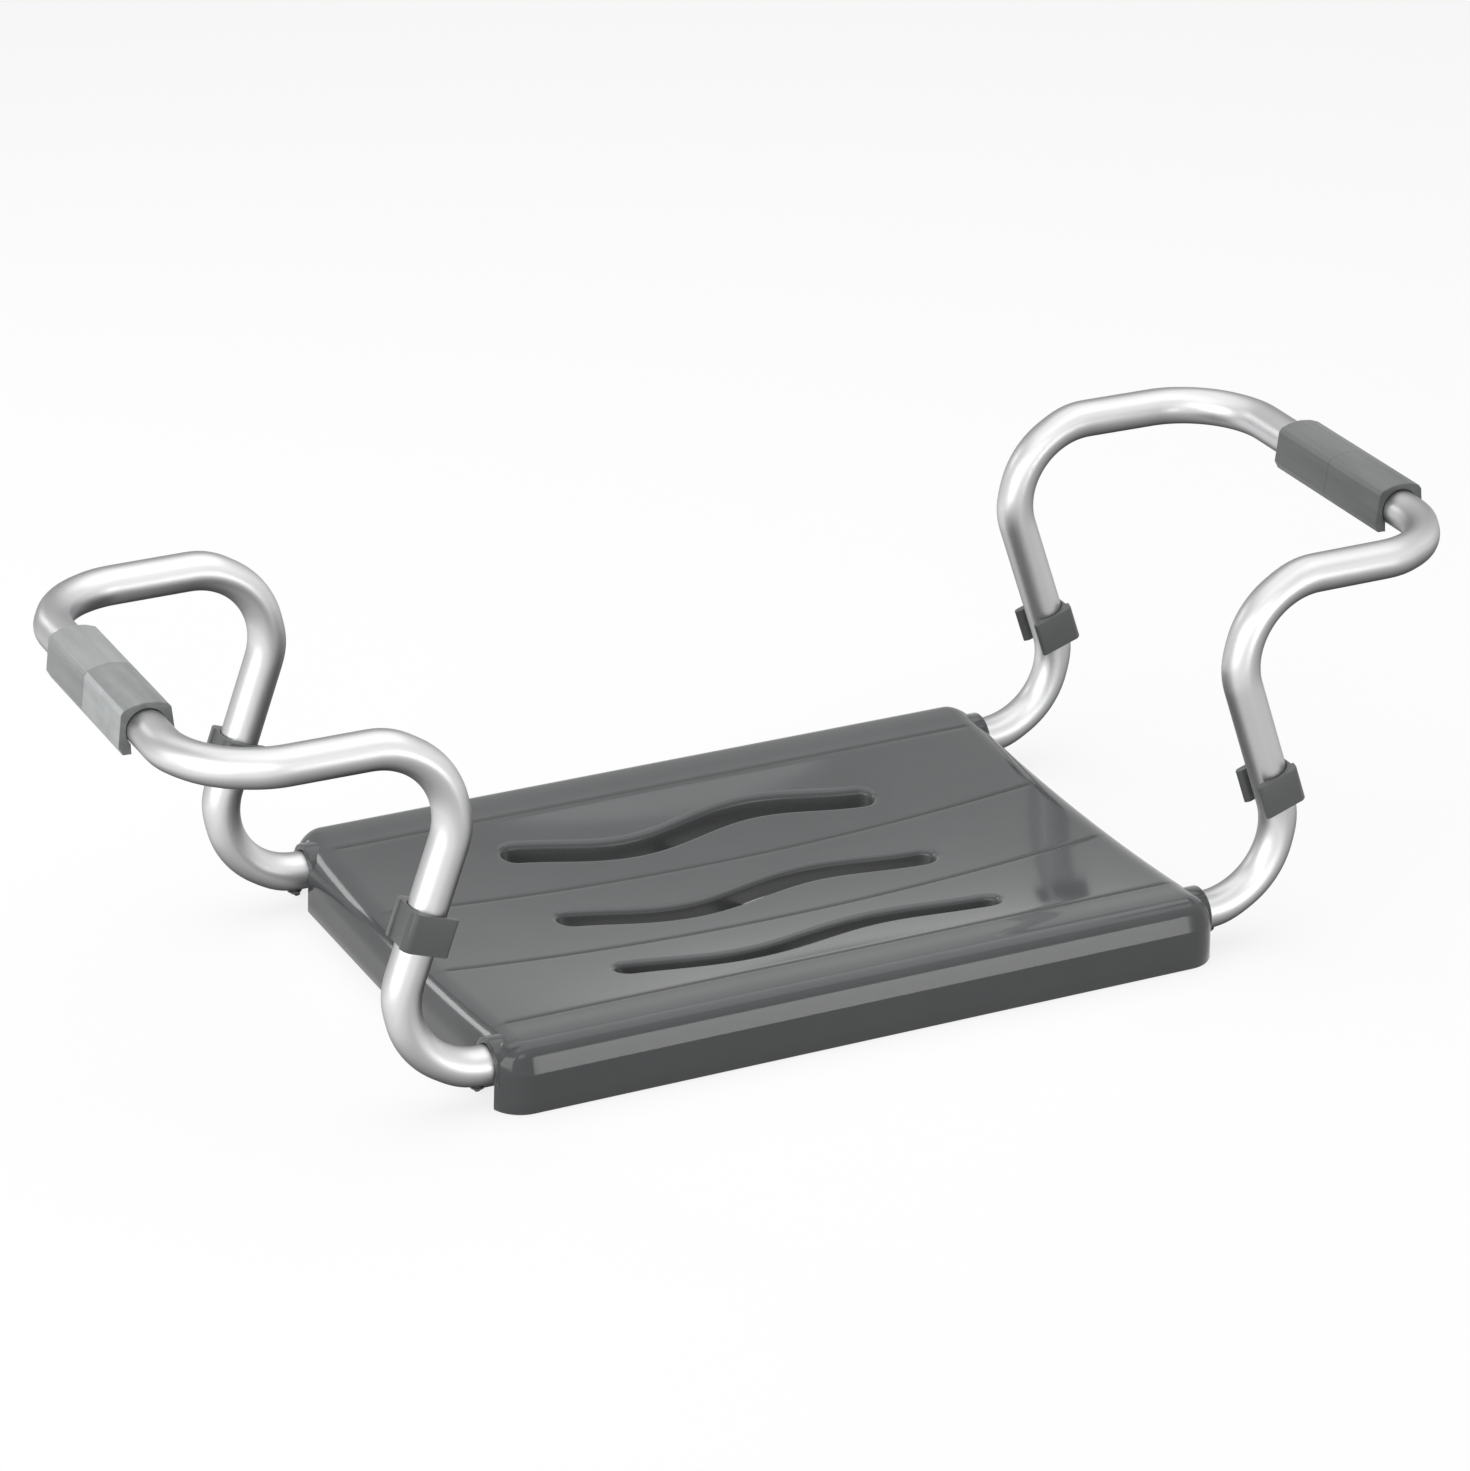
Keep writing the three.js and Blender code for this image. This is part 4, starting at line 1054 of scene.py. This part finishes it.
def add_fittings(leg, side, face, frame_body):
    """The fittings of one leg, under the deck and in the tube."""
    add_bosses(leg, side, face)
    add(strap(f"{leg}_strap_skin", side, face), fitting_mat, "deck", "fitting_plastic", f"{leg}_guide_strap",
        edge=0.5)
    for where, y in SCREW_YS.items():
        piece = screw(f"{leg}_{where}_screw_skin", side * STRAP_X, face * y)
        add(piece, steel_mat, "deck", "steel", f"{leg}_{where}_screw")
    add(clamp_plate(f"{leg}_plate_skin", side, face), fitting_mat, "deck", "fitting_plastic",
        f"{leg}_clamp_plate", edge=0.5)
    add(insert(f"{leg}_insert_skin", side, face), brass_mat, "deck", "brass", f"{leg}_insert")
    add(knob(f"{leg}_knob_skin", side, face), black_mat, f"{leg}_knob", "black_plastic", f"{leg}_knob")
    add(end_plug(f"{leg}_plug_skin", side, face), black_mat, frame_body, "black_plastic", f"{leg}_end_plug")
    piece = bung(f"{leg}_bung_skin", side, face)
    paint(piece, black_mat, grey_mat)
    mark(piece, [p.center.z > (LEG_Z - TUBE_R - 1.75) * MM for p in piece.data.polygons])
    add(piece, None, frame_body, "black_plastic", f"{leg}_bung")


legs = [(f"{side_name}_{face_name}", side, face, f"{side_name}_frame")
        for side_name, side in SIDES.items() for face_name, face in FACES.items()]
add_deck()
for leg, side, face, _ in legs:
    add(collar(f"{leg}_collar", side, face), deck_mat, "deck", "deck_plastic", edge=0.7)
for side_name, side in SIDES.items():
    add_frame(side_name, side)
for leg, side, face, _ in legs:
    piece = wall_pad(f"{leg}_wall_pad_skin", side, face, WALL_PAD_ALONG[leg])
    add(piece, wall_pad_mat, f"{leg}_wall_pad", "dark_pad_plastic", f"{leg}_wall_pad", edge=0.5)
for leg in legs:
    add_fittings(*leg)


# Camera, as solved from the photo
YAW, PITCH, ROLL = 0.46334840, 0.42943927, -0.01502583
SOLVED_SHIFT = (13.3732, 101.1698, 2810.892)
SOLVED_ORIGIN = (-7.5, 0.0, 5.0)
FOCAL_PIXELS, PHOTO_PIXELS, SENSOR = 5418.899, 1471.0, 36.0


def camera():
    """Puts the camera where the solved shift leads right, down and ahead to the origin of the solve."""
    toward = np.array((math.sin(YAW) * math.cos(PITCH), math.cos(YAW) * math.cos(PITCH), -math.sin(PITCH)))
    right = np.array((math.cos(YAW), -math.sin(YAW), 0.0))
    down = np.cross(toward, right)
    right, down = (math.cos(ROLL) * right + math.sin(ROLL) * down,
                   -math.sin(ROLL) * right + math.cos(ROLL) * down)
    place = -(np.array(SOLVED_SHIFT) @ np.array((right, down, toward))) - np.array(SOLVED_ORIGIN)
    data = bpy.data.cameras.new("camera")
    data.sensor_width = SENSOR
    data.lens = FOCAL_PIXELS * SENSOR / PHOTO_PIXELS
    data.clip_end = 50.0
    obj = bpy.data.objects.new("camera", data)
    bpy.context.scene.collection.objects.link(obj)
    turn = Matrix((right, -down, -toward)).transposed().to_4x4()
    obj.matrix_world = Matrix.Translation(Vector(place * MM)) @ turn
    bpy.context.scene.camera = obj


def background_ray(tree):
    """1 for camera, glossy and transmission rays, else 0."""
    path = new_node(tree, "LightPath").outputs
    return calc(tree, "MAXIMUM", calc(tree, "MAXIMUM", path["Is Camera Ray"], path["Is Glossy Ray"]),
                path["Is Transmission Ray"])


def glow(tree, kind):
    """A plain white glow or background."""
    node = new_node(tree, kind)
    set_inputs(node, {"Color": (1, 1, 1, 1), "Strength": 1.0})
    return node


def floor(radius=9000.0, height=-0.2, white_share=0.8):
    """A pale floor, nearly white where it is seen and darker for the light that it gives back."""
    turns = np.linspace(0, 2 * np.pi, 96, endpoint=False)
    builder = Builder()
    builder.cap(builder.ring(circle(0, 0, radius, height, turns)))
    obj = builder.build("floor", 0)
    mat = bpy.data.materials.new("floor")
    mat.use_nodes = True
    tree = mat.node_tree
    tree.nodes.clear()
    diffuse = new_node(tree, "BsdfDiffuse")
    seen = background_ray(tree)
    tree.links.new(tint(tree, seen, (0.22, 0.22, 0.22), (0.86, 0.86, 0.86)), diffuse.inputs["Color"])
    share = calc(tree, "MULTIPLY", seen, white_share)
    mix_shaders(tree, share, diffuse, glow(tree, "Emission"), "OutputMaterial")
    paint(obj, mat)


def world(low=0.05, rise=0.8):
    """White where it is seen, and a dim sky that brightens upwards where it lights."""
    data = bpy.data.worlds.new("world")
    bpy.context.scene.world = data
    data.use_nodes = True
    tree = data.node_tree
    tree.nodes.clear()
    dim = glow(tree, "Background")
    height = calc(tree, "MAXIMUM", axes(tree, coordinates(tree, "Generated"))["Z"], 0.0)
    level = calc(tree, "ADD", calc(tree, "MULTIPLY", calc(tree, "MULTIPLY", height, height), rise), low)
    tree.links.new(level, dim.inputs["Strength"])
    mix_shaders(tree, background_ray(tree), dim, glow(tree, "Background"), "OutputWorld")


# Name, place, aim, size in metres and power in watts
LAMPS = (
    ("overhead", (0.1, 0.2, 1.5), (0.1, 0.2, 0.0), (2.4, 2.0), 20.2),
    ("front", (-1.02, -2.04, 1.3), (0.0, 0.0, 0.1), (0.95, 0.8), 5.8),
    ("left", (-2.0, -0.7, 0.55), (-0.2, -0.1, 0.1), (1.6, 1.0), 19.0),
    ("low_front", (0.487, -1.23, 0.125), (0.487, 0.0, 0.125), (0.62, 0.24), 2.6),
    ("back_left", (-0.79, 1.22, 0.67), (-0.2, 0.0, 0.03), (0.42, 0.26), 1.9))


def lamp(name, place, aim, size, power):
    data = bpy.data.lights.new(name, "AREA")
    data.shape = "RECTANGLE"
    data.size, data.size_y = size
    data.energy = power
    obj = bpy.data.objects.new(name, data)
    bpy.context.scene.collection.objects.link(obj)
    turn = (Vector(aim) - Vector(place)).to_track_quat("-Z", "Y").to_matrix().to_4x4()
    obj.matrix_world = Matrix.Translation(Vector(place)) @ turn


camera()
floor()
world()
for row in LAMPS:
    lamp(*row)

scene = bpy.context.scene
scene.view_settings.view_transform = "Standard"
